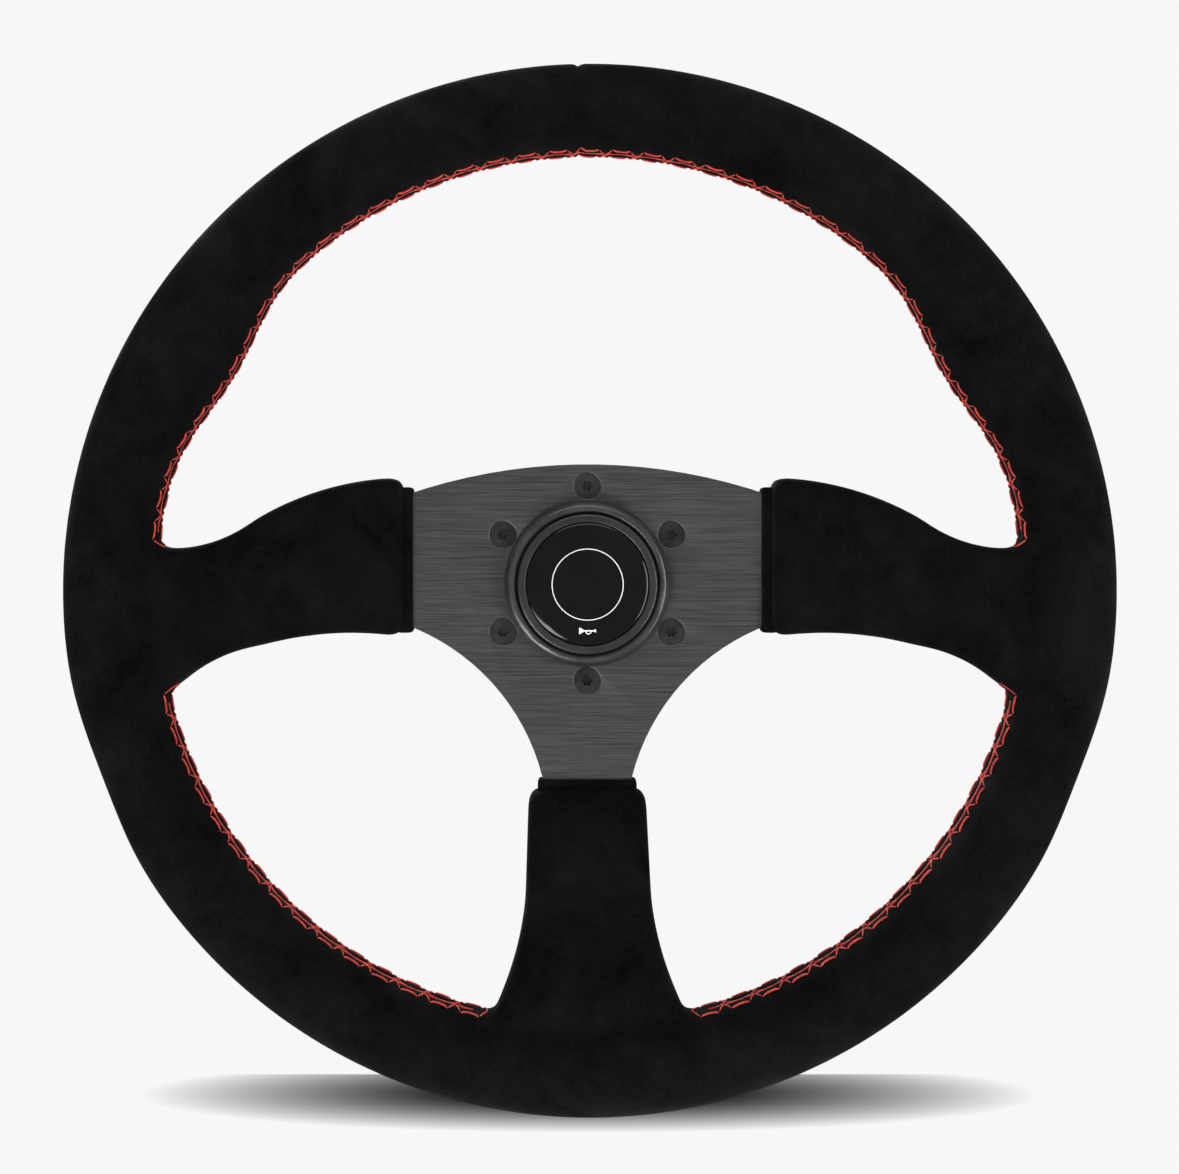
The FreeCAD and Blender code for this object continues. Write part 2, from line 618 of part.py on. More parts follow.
def spoke_plate():
    """The dished three-spoke plate, with the horn's hole and six countersunk holes."""
    body = new_body("plate_blank")
    spoke_slab(body, -s.plate_thickness, Size.of(0))
    crown_centre = s.crown_height - s.crown_radius
    shoulder = s.side_shoulder_x
    top = arc_height(crown_centre, s.crown_radius, shoulder, 1)
    bottom = arc_height(-s.notch_drop, s.notch_radius, s.notch_x - shoulder, 1)
    waist_drop = s.lower_shoulder_drop
    reach = s.notch_drop - waist_drop
    waist = s.notch_x - (s.notch_radius * s.notch_radius - reach * reach).root()
    end_x = spoke_end_radius
    tip_top = (end_x * end_x - s.side_tip_top * s.side_tip_top).root()
    tip_bottom = (end_x * end_x - s.side_tip_bottom * s.side_tip_bottom).root()
    tip_lower = (end_x * end_x - s.lower_tip_half * s.lower_tip_half).root()
    right = [
        (shoulder, top),
        (side_tip_x, s.side_tip_top),
        (tip_top, s.side_tip_top),
        (tip_bottom, -s.side_tip_bottom),
        (side_tip_x, -s.side_tip_bottom),
        (shoulder, bottom),
        (waist, -waist_drop),
        (s.lower_tip_half, -rise_end),
        (s.lower_tip_half, -tip_lower),
    ]
    corners = right + [(-x, y) for x, y in right[::-1]]
    last = len(corners) - 1
    arcs = {
        2: -end_x,
        5: s.notch_radius,
        8: -end_x,
        11: s.notch_radius,
        14: -end_x,
        last: -s.crown_radius,
    }
    keep_inside(body, "outline", corners, arcs)
    bored(body, "horn_hole", None, lambda k: draw_circle(k, 0, 0, s.horn_bore_radius))
    hole = bored(body, "hole", None, lambda k: draw_circle(k, 0, bolt_radius, s.bolt_hole_radius))
    repeated(body, hole, "holes", s.bolt_count)
    doc.recompute()
    sink_depth = countersink_radius - s.bolt_hole_radius
    sketch = new_sketch(body, "sink_profile", "YZ_Plane")
    face = -plate_face
    loop = [
        (face, bolt_radius),
        (face, bolt_radius + countersink_radius),
        (face + sink_depth, bolt_radius + s.bolt_hole_radius),
        (face + sink_depth, bolt_radius),
    ]
    draw_outline(sketch, loop)
    sink = body.newObject("PartDesign::Groove", "plate_blank_sink")
    sink.Profile = sketch
    sink.ReferenceAxis = (sketch, ["Edge4"])
    sink.Angle = FULL_TURN
    doc.recompute()
    repeated(body, sink, "sinks", s.bolt_count)
    return body


def side_cover_outline(inset, sign):
    """A side spoke's cover seen face-on, inset from its outside."""
    start = s.cuff_start_x + s.cuff_width
    inside_grip = cover_root + s.grip_width / 2
    corners = [
        (start, s.side_cover_top - inset),
        (side_knee_x, s.side_knee_top - inset),
        (cover_root, s.side_root_top - inset),
        (inside_grip, s.side_root_top - inset),
        (inside_grip, -(s.side_root_bottom - inset)),
        (cover_root, -(s.side_root_bottom - inset)),
        (side_knee_x, -(s.side_knee_bottom - inset)),
        (start, -(s.side_cover_bottom - inset)),
    ]
    arcs = {0: -s.side_top_arc, 1: s.flare_arc, 5: s.flare_arc, 6: s.side_bottom_arc}
    if sign < 0:
        corners = [(-x, y) for x, y in corners]
        arcs = {i: -radius for i, radius in arcs.items()}
    return corners, arcs


def lower_cover_outline(inset):
    """The lower spoke's cover seen face-on, inset from its outside."""
    start = s.cuff_start_drop + s.cuff_width
    right = [
        (s.lower_cover_half - inset, -start),
        (s.lower_knee_half - inset, -lower_knee_drop),
        (s.lower_root_half - inset, -cover_root),
        (s.lower_root_half - inset, -(cover_root + s.grip_width / 2)),
    ]
    corners = right + [(-x, y) for x, y in right[::-1]]
    arcs = {1: s.flare_arc * 2, 5: s.flare_arc * 2}
    return corners, arcs


def spoke_shape(label, padding, outline):
    """A closed piece round a spoke: its band of padding, kept inside an outline."""
    corners, arcs = outline
    body = new_body(label)
    spoke_slab(body, -(s.plate_thickness + padding), padding)
    keep_inside(body, "outline", corners, arcs)
    return body


def cuff_outline(sign):
    """A side cuff seen face-on: a hem that stands proud of the plate's edges."""
    near = s.cuff_start_x
    far = s.cuff_start_x + s.cuff_width
    crown_centre = s.crown_height - s.crown_radius
    top = arc_height(crown_centre, s.crown_radius, near, 1) + s.cuff_thickness
    bottom = arc_height(-s.notch_drop, s.notch_radius, s.notch_x - near, 1) - s.cuff_thickness
    corners = [(near, top), (far, top), (far, bottom), (near, bottom)]
    return [(x * sign, y) for x, y in corners], {}


def lower_cuff_outline():
    near = s.cuff_start_drop
    far = s.cuff_start_drop + s.cuff_width
    reach = s.notch_drop - near
    half = s.notch_x - (s.notch_radius * s.notch_radius - reach * reach).root()
    half = half + s.cuff_thickness
    return [(half, -near), (half, -far), (-half, -far), (-half, -near)], {}


def rim_angle(length):
    """The angle in degrees that a length round the rim covers."""
    return math.degrees(length.value / rim_radius.value)


def stitch_band(label, start, end):
    """A wedge of ring over the grip's inner edge between two angles."""
    half = s.stitch_width.value / 2
    outer = rim_radius.value - s.stitch_reach.value
    inner = rim_radius.value - s.grip_width.value
    out = Vector(math.cos(math.radians(start)), 0, math.sin(math.radians(start)))
    corners = [
        out * radius + Vector(0, -(rim_depth.value + rise), 0)
        for radius, rise in ((inner, -half), (outer, -half), (outer, half), (inner, half))
    ]
    section = Part.Face(Part.makePolygon(corners + corners[:1]))
    feature = doc.addObject("Part::Feature", label)
    feature.Shape = section.revolve(Vector(0, 0, 0), Vector(0, -1, 0), end - start)
    feature.Placement = Placement()
    return feature


# ---------------------------------------------------------------- quick release


def release_hub():
    """The flanged hub: nose, pilot, lock bore, insert seat, chamber, recess and its holes."""
    body = new_body("release_hub")
    bevel = s.edge_break
    profile = [
        (pilot_radius, 0),
        (nose_radius - bevel, 0),
        (nose_radius, bevel),
        (nose_radius, s.clip_depth),
        (clip_groove_radius, s.clip_depth),
        (clip_groove_radius, clip_face),
        (nose_radius, clip_face),
        (nose_radius, flange_back - s.nose_fillet),
        (nose_radius + s.nose_fillet, flange_back),
        (flange_radius - bevel, flange_back),
        (flange_radius, flange_back + bevel),
        (flange_radius, hub_length - bevel),
        (flange_radius - bevel, hub_length),
        (s.horn_bore_radius, hub_length),
        (s.horn_bore_radius, recess_floor),
        (chamber_radius, recess_floor),
        (chamber_radius, clip_front),
        (carrier_clip_outer, clip_front),
        (carrier_clip_outer, clip_back),
        (chamber_radius, clip_back),
        (chamber_radius, insert_face),
        (insert_radius, insert_face),
        (insert_radius, insert_start),
        (s.lock_bore_radius, insert_start),
        (s.lock_bore_radius, s.pilot_length),
        (pilot_radius, s.pilot_length),
    ]
    turned(body, "turning", profile)
    hole = bored(
        body, "thread", flange_back - 1, lambda k: draw_circle(k, 0, bolt_radius, s.thread_radius)
    )
    repeated(body, hole, "threads", s.bolt_count)
    key = bored(
        body,
        "keyway",
        insert_face - s.key_length,
        lambda k: draw_circle(k, 0, insert_radius, s.key_radius),
    )
    repeated(body, key, "keyways", Size.of(3))
    doc.recompute()
    sketch = new_sketch(body, "pocket_profile", "YZ_Plane")
    depth = -s.ball_depth
    low = s.lock_bore_radius - 1
    high = nose_radius + 1
    loop = [
        (depth, low),
        (depth + pocket_mouth - s.pocket_slope, low),
        (depth + pocket_mouth + s.pocket_slope * (high - s.lock_bore_radius), high),
        (depth, high),
    ]
    draw_outline(sketch, loop)
    pocket = body.newObject("PartDesign::Groove", "release_hub_pocket")
    pocket.Profile = sketch
    pocket.ReferenceAxis = (sketch, ["Edge4"])
    pocket.Angle = FULL_TURN
    doc.recompute()
    repeated(body, pocket, "pockets", s.ball_count)
    return body


def spline_socket():
    """The steel insert that carries the spline, with half keyways in its outside."""
    body = new_body("spline_socket")
    inner, outer = spline_minor_radius, insert_radius
    loop = [
        (inner, insert_start + s.edge_break),
        (inner + s.edge_break, insert_start),
        (outer, insert_start),
        (outer, insert_face),
        (inner, insert_face),
    ]
    turned(body, "turning", loop)
    half = s.spline_groove / 2
    low = spline_minor_radius - 1

    def groove(sketch):
        corners = [
            (-half, low),
            (half, low),
            (half, spline_major_radius),
            (-half, spline_major_radius),
        ]
        draw_outline(sketch, corners)

    tooth = bored(body, "groove", insert_start - 1, groove)
    repeated(body, tooth, "grooves", s.spline_count)
    key = bored(
        body,
        "keyway",
        insert_face - s.key_length,
        lambda k: draw_circle(k, 0, insert_radius, s.key_radius),
    )
    repeated(body, key, "keyways", Size.of(3))
    return body


def round_group(label, count, radius, back, length, size):
    """Equal pins along the axis, spread round it, as separate solids."""
    axis = Vector(0, -1, 0)
    pins = []
    for i in range(int(count)):
        angle = math.radians(90.0 + FULL_TURN * i / count)
        foot = Vector(radius * math.cos(angle), -back, radius * math.sin(angle))
        pins.append(Part.makeCylinder(size, length, foot, axis))
    feature = doc.addObject("Part::Feature", label)
    feature.Label = label
    feature.Shape = Part.makeCompound(pins)
    feature.Placement = Placement()
    return feature


def release_collar():
    """The sliding collar: rear lip, ball cone, guide, spring pocket and grooved waist."""
    body = new_body("release_collar")
    bevel = s.edge_break
    guide = nose_radius + s.collar_play
    lip_radius = nose_radius + s.collar_lip_play
    reach = (s.ball_slope * s.ball_slope + 1).root() * (s.ball_radius + s.ball_play)
    at_ball = ball_centre + reach
    wide = at_ball + s.ball_slope * (s.ball_depth - s.cone_rear)
    cone_front = s.ball_depth + (at_ball - guide) / s.ball_slope
    lip_front = collar_rear + s.collar_lip_length
    rear_edge = collar_rear + s.collar_lip_length * 2
    front_edge = collar_front - s.collar_lip_length * 2
    rise = collar_radius - collar_waist_radius
    profile = [
        (lip_radius, collar_rear),
        (collar_radius - bevel, collar_rear),
        (collar_radius, collar_rear + bevel),
        (collar_radius, rear_edge),
        (collar_waist_radius, rear_edge + rise),
        (collar_waist_radius, front_edge - rise),
        (collar_radius, front_edge),
        (collar_radius, collar_front - bevel),
        (collar_radius - bevel, collar_front),
        (nose_radius + s.spring_pocket_room, collar_front),
        (nose_radius + s.spring_pocket_room, spring_pocket_depth),
        (guide, spring_pocket_depth),
        (guide, cone_front),
        (wide, s.cone_rear),
        (wide, lip_front),
        (lip_radius, lip_front),
    ]
    turned(body, "turning", profile)
    middle = (collar_rear + collar_front) / 2
    for i in (-1, 0, 1):
        depth = middle + s.grip_ring_step * i
        edge = collar_waist_radius
        loop = [
            (edge - s.grip_ring_radius, depth),
            (edge + 1, depth - s.grip_ring_radius - 1),
            (edge + 1, depth + s.grip_ring_radius + 1),
        ]
        doc.recompute()
        turned(body, f"grip_ring_{i + 2}", loop, kind="PartDesign::Groove")
    return body


def locking_ball(number):
    """One ball at its locked place."""
    angle = math.radians(90.0 + FULL_TURN * number / s.ball_count.value)
    ball = doc.addObject("Part::Sphere", f"locking_ball_{number + 1}")
    ball.Label = f"locking_ball_{number + 1}"
    s.ball_radius.bind(ball, "Radius")
    (-s.ball_depth).bind(ball, "Placement.Base.y")
    (ball_centre * math.cos(angle)).bind(ball, "Placement.Base.x")
    (ball_centre * math.sin(angle)).bind(ball, "Placement.Base.z")
    return ball


def split_ring(label, inner, outer, back, thickness, gap, turn):
    """A flat retaining ring whose opening faces up where turn is 1 and down where it is -1."""
    body = new_body(label)
    front = back + thickness
    turned(body, "ring", [(inner, back), (outer, back), (outer, front), (inner, front)])

    def opening(sketch):
        half = gap / 2
        reach = outer + 1
        low, high = (inner - 1, reach) if turn > 0 else (-reach, -(inner - 1))
        draw_outline(sketch, [(-half, low), (half, low), (half, high), (-half, high)])

    bored(body, "opening", back - 1, opening)
    return body


def coil(label, mean, wire, turns, back, front):
    """A round-wire compression spring between two depths."""
    span = front - back - wire
    turn_pitch = span / turns
    helix = doc.addObject("Part::Helix", f"{label}_line")
    mean.bind(helix, "Radius")
    turn_pitch.bind(helix, "Pitch")
    span.bind(helix, "Height")
    helix.Placement = Placement(
        Vector(0, -(back.value + wire.value / 2), 0), Rotation(Vector(1, 0, 0), 90)
    )
    (-(back + wire / 2)).bind(helix, "Placement.Base.y")
    ring = doc.addObject("Part::Circle", f"{label}_wire")
    (wire / 2).bind(ring, "Radius")
    ring.Placement = Placement(
        Vector(mean.value, -(back.value + wire.value / 2), 0), Rotation(Vector(0, 0, 1), 0)
    )
    sweep = doc.addObject("Part::Sweep", label)
    sweep.Label = label
    mean.bind(ring, "Placement.Base.x")
    (-(back + wire / 2)).bind(ring, "Placement.Base.y")
    doc.recompute()
    sweep.Sections = [ring]
    sweep.Spine = (helix, [f"Edge{i + 1}" for i in range(len(helix.Shape.Edges))])
    sweep.Solid = True
    sweep.Frenet = True
    return sweep


def pin_carrier():
    """The insulating carrier with its tower, bored for the contact pin and its spring."""
    body = new_body("pin_carrier")
    back = insert_face
    disc = chamber_radius - s.carrier_play
    top = back + s.tower_height
    floor = back + s.plunger_floor
    loop = [
        (s.pin_radius + s.pin_play, back),
        (disc, back),
        (disc, back + s.carrier_disc),
        (s.tower_radius, back + s.carrier_disc),
        (s.tower_radius, top),
        (0, top),
        (0, top - s.plunger_roof),
        (s.plunger_bore_radius, top - s.plunger_roof),
        (s.plunger_bore_radius, floor),
        (s.pin_radius + s.pin_play, floor),
    ]
    turned(body, "moulding", loop)
    return body


def contact_pin():
    """The sprung pin that meets the column's horn contact."""
    body = new_body("contact_pin")
    seat = insert_face + s.plunger_floor + s.pin_play
    top = seat + s.pin_flange_thickness
    tip = insert_face - s.pin_tip
    loop = [
        (0, tip),
        (s.pin_radius - s.edge_break, tip),
        (s.pin_radius, tip + s.edge_break),
        (s.pin_radius, seat),
        (s.pin_flange_radius, seat),
        (s.pin_flange_radius, top),
        (0, top),
    ]
    turned(body, "turning", loop)
    return body


# ---------------------------------------------------------------- horn unit


def bezel_ring():
    """The round-topped ring on the plate's face, with a skirt through the plate."""
    body = new_body("bezel_ring")
    skirt = s.horn_bore_radius - s.horn_play
    top = plate_face + s.bezel_height
    shoulder = plate_face + s.bezel_height / 4
    lip_top = top - s.edge_break * 1.5
    crest_outer = bezel_radius - s.bezel_height / 2.5
    crest_inner = bezel_lip_radius + s.edge_break * 1.5
    loop = [
        (bezel_bore_radius, base_face),
        (skirt, base_face),
        (skirt, plate_face),
        (bezel_radius, plate_face),
        (bezel_radius, shoulder),
        (crest_outer, top),
        (crest_inner, top),
        (bezel_lip_radius, lip_top),
        (bezel_lip_radius, plate_face + s.bezel_ledge),
        (bezel_bore_radius, plate_face + s.bezel_ledge),
    ]
    turned(body, "turning", loop, {4: -(s.bezel_height * 0.8)})
    return body


def horn_button():
    """The moving shell: lower lip, wall, rounded face and the emblem's seat."""
    body = new_body("horn_button")
    lip_top = plate_face + s.bezel_ledge - s.button_gap
    bottom = plate_face - s.button_skirt
    round_off = s.edge_break * 1.5
    loop = [
        (button_inner, bottom),
        (button_lip_radius, bottom),
        (button_lip_radius, lip_top),
        (button_outer, lip_top),
        (button_outer, button_face - round_off),
        (button_outer - round_off, button_face),
        (emblem_seat_radius + s.edge_break / 2, button_face),
        (emblem_seat_radius, button_face - s.edge_break / 2),
        (emblem_seat_radius, emblem_floor),
        (0, emblem_floor),
        (0, button_underside),
        (button_inner, button_underside),
    ]
    turned(body, "moulding", loop, {4: -round_off})
    return body


def emblem_disc():
    """The thin backing disc under the dome."""
    body = new_body("emblem_disc")
    edge = emblem_seat_radius - s.emblem_play
    top = emblem_floor + s.emblem_disc_thickness
    turned(body, "disc", [(0, emblem_floor), (edge, emblem_floor), (edge, top), (0, top)])
    return body


def emblem_dome():
    """The domed resin cap."""
    body = new_body("emblem_dome")
    edge = emblem_seat_radius - s.emblem_play
    back = emblem_floor + s.emblem_disc_thickness
    rim = back + s.dome_edge
    crown = back + s.dome_height
    rise = s.dome_height - s.dome_edge
    curve = (edge * edge + rise * rise) / (rise * 2)
    turned(body, "dome", [(0, back), (edge, back), (edge, rim), (0, crown)], {2: -curve})
    return body


def horn_base():
    """The fixed insulating base, with a post for the spring and slots for the terminals."""
    body = new_body("horn_base")
    edge = s.horn_bore_radius - s.horn_play
    post_radius = horn_spring_radius - s.base_post_room
    post_top = base_face + s.base_post_height
    loop = [
        (0, recess_floor),
        (edge, recess_floor),
        (edge, base_face),
        (post_radius, base_face),
        (post_radius, post_top),
        (0, post_top),
    ]
    turned(body, "moulding", loop)
    slot = bored(body, "slot", recess_floor - 1, terminal_section)
    repeated(body, slot, "slots", Size.of(2))
    return body


def terminal_section(sketch):
    half_width = s.terminal_width / 2
    near = terminal_x - s.terminal_thickness / 2
    far = terminal_x + s.terminal_thickness / 2
    draw_outline(
        sketch,
        [(near, -half_width), (far, -half_width), (far, half_width), (near, half_width)],
    )


def horn_terminals():
    """The two spade terminals, as separate solids."""
    size = Vector(
        s.terminal_thickness.value,
        s.terminal_length.value + s.base_thickness.value,
        s.terminal_width.value,
    )
    tabs = []
    for side in (-1, 1):
        corner = Vector(
            side * terminal_x.value - size.x / 2,
            -base_face.value,
            -size.z / 2,
        )
        tabs.append(Part.makeBox(size.x, size.y, size.z, corner))
    feature = doc.addObject("Part::Feature", "horn_terminals")
    feature.Label = "horn_terminals"
    feature.Shape = Part.makeCompound(tabs)
    feature.Placement = Placement()
    return feature


def fixed_contact():
    body = new_body("fixed_contact")
    top = base_face + s.contact_thickness
    inner, outer = contact_inner, contact_outer
    turned(body, "ring", [(inner, base_face), (outer, base_face), (outer, top), (inner, top)])
    return body


def moving_contact():
    """The hat-shaped contact under the button."""
    body = new_body("moving_contact")
    face = base_face + s.contact_thickness + s.contact_gap
    wall = contact_inner + s.contact_thickness
    roof = button_underside - s.contact_thickness
    loop = [
        (contact_inner, face),
        (contact_outer, face),
        (contact_outer, face + s.contact_thickness),
        (wall, face + s.contact_thickness),
        (wall, button_underside),
        (contact_root, button_underside),
        (contact_root, roof),
        (contact_inner, roof),
    ]
    turned(body, "pressing", loop)
    return body


def hub_screws():
    """Six countersunk screws with six-lobed drives, as separate solids."""
    top = plate_face.value - s.screw_sink.value
    tip = top - s.screw_length.value
    shank = s.thread_radius.value - s.thread_play.value
    head = s.screw_head_radius.value
    axis = Vector(0, -1, 0)
    foot = Vector(0, -tip, bolt_radius.value)
    cone = head - shank
    land = s.screw_head_land.value
    body = Part.makeCylinder(shank, s.screw_length.value, foot, axis)
    start = foot + axis * (s.screw_length.value - cone - land)
    body = body.fuse(
        [
            Part.makeCone(shank, head, cone, start, axis),
            Part.makeCylinder(head, land, start + axis * cone, axis),
        ]
    )
    drive_foot = foot + axis * (s.screw_length.value - s.drive_depth.value)
    depth = s.drive_depth.value + 1
    tools = [Part.makeCylinder(s.drive_radius.value, depth, drive_foot, axis)]
    for i in range(6):
        angle = math.radians(60.0 * i)
        out = Vector(math.cos(angle), 0, math.sin(angle)) * s.drive_radius.value
        tools.append(
            Part.makeCylinder(s.drive_lobe_radius.value, depth, drive_foot + out, axis)
        )
    body = body.cut(tools[0].fuse(tools[1:])).removeSplitter()
    screws = []
    for i in range(int(s.bolt_count.value)):
        copy = body.copy()
        turn = FULL_TURN * i / s.bolt_count.value
        copy.rotate(Vector(0, 0, 0), Vector(0, -1, 0), turn)
        screws.append(copy.Solids[0])
    feature = doc.addObject("Part::Feature", "hub_screws")
    feature.Label = "hub_screws"
    feature.Shape = Part.makeCompound(screws)
    feature.Placement = Placement()
    return feature


# ---------------------------------------------------------------- the assembly


def build():
    """Makes every sub-part and returns those that are exported."""
    parts = []
    rivets = rim_rivets()
    plate = cut("spoke_plate", spoke_plate(), rivets)
    ring = cut("rim_ring", rim_ring(), rivets)
    doc.recompute()
    grip = grip_solid("grip_outside", 0.0)
    core = grip_solid("grip_core", s.suede_thickness.value)
    thread = grip_solid("grip_thread", -s.thread_proud.value)
    parts += [
        cut("rim_cover", grip, core, plate),
        cut("rim_core", core, ring, plate, rivets),
    ]

    padding = s.pad_thickness
    covering = s.pad_thickness + s.suede_thickness
    spokes = {
        "left": (side_cover_outline, -1, cuff_outline(-1)),
        "right": (side_cover_outline, 1, cuff_outline(1)),
        "lower": (lower_cover_outline, None, lower_cuff_outline()),
    }
    for name, (outline, sign, hem) in spokes.items():
        extra = () if sign is None else (sign,)
        foam = spoke_shape(f"{name}_foam", padding, outline(s.suede_thickness, *extra))
        skin = spoke_shape(f"{name}_skin", covering, outline(Size.of(0), *extra))
        hem_band = spoke_shape(f"{name}_hem", s.cuff_thickness, hem)
        parts += [
            cut(f"{name}_spoke_pad", foam, grip, plate),
            cut(f"{name}_spoke_cover", skin, foam, grip, plate),
            cut(f"{name}_cuff", hem_band, plate),
        ]

    outer_thread = boolean("Cut", "thread_shell", thread, grip)
    joint = rim_angle(s.stitch_joint)
    above = rim_angle(s.stitch_above_side)
    below = rim_angle(s.stitch_below_side)
    beside = rim_angle(s.stitch_beside_lower)
    seams = {
        "upper_right_stitching": (above, 90 - joint),
        "upper_left_stitching": (90 + joint, 180 - above),
        "lower_left_stitching": (180 + below, 270 - beside),
        "lower_right_stitching": (270 + beside, 360 - below),
    }
    for name, (start, end) in seams.items():
        band = stitch_band(f"{name}_band", start, end)
        doc.recompute()
        parts.append(boolean("Common", name, outer_thread, band))

    parts += [plate, ring, rivets]
    parts += [release_hub(), spline_socket(), release_collar(), pin_carrier(), contact_pin()]
    key_back = insert_face.value - s.key_length.value
    parts.append(
        round_group(
            "socket_keys",
            3,
            insert_radius.value,
            key_back,
            s.key_length.value,
            s.key_radius.value,
        )
    )
    parts += [locking_ball(i) for i in range(int(s.ball_count.value))]
    clip_args = (s.clip_depth, s.clip_thickness, s.clip_gap)
    parts.append(split_ring("stop_clip", clip_groove_radius, clip_radius, *clip_args, 1))
    hold_args = (clip_back, s.carrier_clip_thickness, s.clip_gap)
    parts.append(
        split_ring("carrier_clip", carrier_clip_inner, carrier_clip_outer, *hold_args, -1)
    )
    parts += [
        coil(
            "collar_spring",
            nose_radius + s.spring_room,
            s.spring_wire,
            s.spring_turns,
            spring_pocket_depth,
            flange_back,
        ),
        coil(
            "contact_spring",
            s.pin_spring_radius,
            s.pin_spring_wire,
            s.pin_spring_turns,
            insert_face + s.plunger_floor + s.pin_play + s.pin_flange_thickness,
            insert_face + s.tower_height - s.plunger_roof,
        ),
        coil(
            "horn_spring",
            horn_spring_radius,
            s.horn_spring_wire,
            s.horn_spring_turns,
            base_face,
            button_underside,
        ),
    ]
    parts += [bezel_ring(), horn_button(), emblem_disc(), emblem_dome()]
    parts += [horn_base(), horn_terminals(), fixed_contact(), moving_contact(), hub_screws()]
    doc.recompute()
    return parts


def check_document():
    """Stops the build if any object of the document failed."""
    failed = [
        f"{o.Label} ({', '.join(o.State)})"
        for o in doc.Objects
        if "Invalid" in o.State or "Error" in o.State
    ]
    if failed:
        raise RuntimeError("these objects failed: " + ", ".join(failed))


def export(parts):
    """Writes each sub-part's solids to parts/LABEL.step."""
    os.makedirs("parts", exist_ok=True)
    for part in parts:
        shape = part.Shape
        if shape.isNull() or not shape.isValid() or not shape.Solids:
            raise RuntimeError(f"{part.Label} has no valid solid")
        shape.exportStep(os.path.join("parts", f"{part.Label}.step"))
        print(f"{part.Label}: {len(shape.Solids)} solid(s), {shape.Volume:.1f} mm3")


made = build()
check_document()
export(made)
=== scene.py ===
"""Looks of the quick release steering wheel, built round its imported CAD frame.

The row frame is in metres: +Z is 12 o'clock on the wheel, -Y faces the driver, and the origin is
the mouth of the release socket. Angles round the rim start at 3 o'clock and run anticlockwise.
"""

import json
import logging
import math
from dataclasses import dataclass
from enum import Enum

import bmesh
import bpy
import numpy as np
import openvdb as vdb
from mathutils import Matrix, Vector
from mathutils.bvhtree import BVHTree


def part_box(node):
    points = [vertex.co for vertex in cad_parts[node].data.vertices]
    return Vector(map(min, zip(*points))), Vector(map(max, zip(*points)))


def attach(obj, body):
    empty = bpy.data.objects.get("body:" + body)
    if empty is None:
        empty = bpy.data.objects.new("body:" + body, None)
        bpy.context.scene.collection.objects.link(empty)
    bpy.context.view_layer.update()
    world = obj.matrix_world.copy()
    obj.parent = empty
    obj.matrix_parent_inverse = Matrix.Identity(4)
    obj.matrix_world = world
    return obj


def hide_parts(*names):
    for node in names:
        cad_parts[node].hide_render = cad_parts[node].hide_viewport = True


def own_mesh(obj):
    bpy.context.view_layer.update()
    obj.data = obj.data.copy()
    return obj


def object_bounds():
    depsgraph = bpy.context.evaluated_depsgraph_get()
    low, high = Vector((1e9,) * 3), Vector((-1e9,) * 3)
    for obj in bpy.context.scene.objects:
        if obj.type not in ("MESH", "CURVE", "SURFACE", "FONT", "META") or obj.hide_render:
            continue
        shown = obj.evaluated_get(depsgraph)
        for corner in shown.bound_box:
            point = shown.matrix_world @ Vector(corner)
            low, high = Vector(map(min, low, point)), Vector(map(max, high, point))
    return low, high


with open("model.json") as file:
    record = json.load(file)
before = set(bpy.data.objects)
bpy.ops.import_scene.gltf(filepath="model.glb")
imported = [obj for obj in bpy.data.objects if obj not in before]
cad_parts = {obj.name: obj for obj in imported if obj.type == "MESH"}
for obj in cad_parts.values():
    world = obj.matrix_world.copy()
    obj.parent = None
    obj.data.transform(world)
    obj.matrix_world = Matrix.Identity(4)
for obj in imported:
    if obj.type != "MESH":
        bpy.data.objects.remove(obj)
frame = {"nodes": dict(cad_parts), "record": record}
CAD_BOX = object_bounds()
LOG = logging.getLogger("steering_wheel")

MM = 0.001
WELD = 1e-6
FLAT_ANGLE = 1e-3
SHARP_ANGLE = 32
BEVEL_ANGLE = 35
CORNER_ANGLE = 50


class Body(Enum):
    """The rigid bodies that pieces ride on."""

    WHEEL = "wheel"
    BUTTON = "button"
    COLLAR = "collar"


class Slot(Enum):
    """Material slots of the record."""

    SUEDE = "suede"
    FOAM = "foam"
    THREAD = "thread"
    BLACK_PLATE = "black_plate"
    BLACK_METAL = "black_metal"
    STEEL = "steel"
    BRIGHT_STEEL = "bright_steel"
    BLACK_STEEL = "black_steel"
    SPRING_STEEL = "spring_steel"
    BLACK_PLASTIC = "black_plastic"
    EMBLEM_PRINT = "emblem_print"
    CLEAR_DOME = "clear_dome"
    CONTACT_BRASS = "contact_brass"


# ------------------------------------------------------------------------------ mesh helpers


def node_mesh(name: str) -> bpy.types.Object:
    """Returns the CAD node of that name."""
    return frame["nodes"][name]


def mesh_arrays(obj: bpy.types.Object) -> tuple[np.ndarray, np.ndarray]:
    """Reads a mesh as arrays.

    Args:
        obj: A mesh object at the origin.

    Returns:
        Its points, and its triangles as point numbers.
    """
    mesh = obj.data
    points = np.empty(len(mesh.vertices) * 3, np.float32)
    mesh.vertices.foreach_get("co", points)
    mesh.calc_loop_triangles()
    triangles = np.empty(len(mesh.loop_triangles) * 3, np.int32)
    mesh.loop_triangles.foreach_get("vertices", triangles)
    return points.reshape(-1, 3), triangles.reshape(-1, 3)


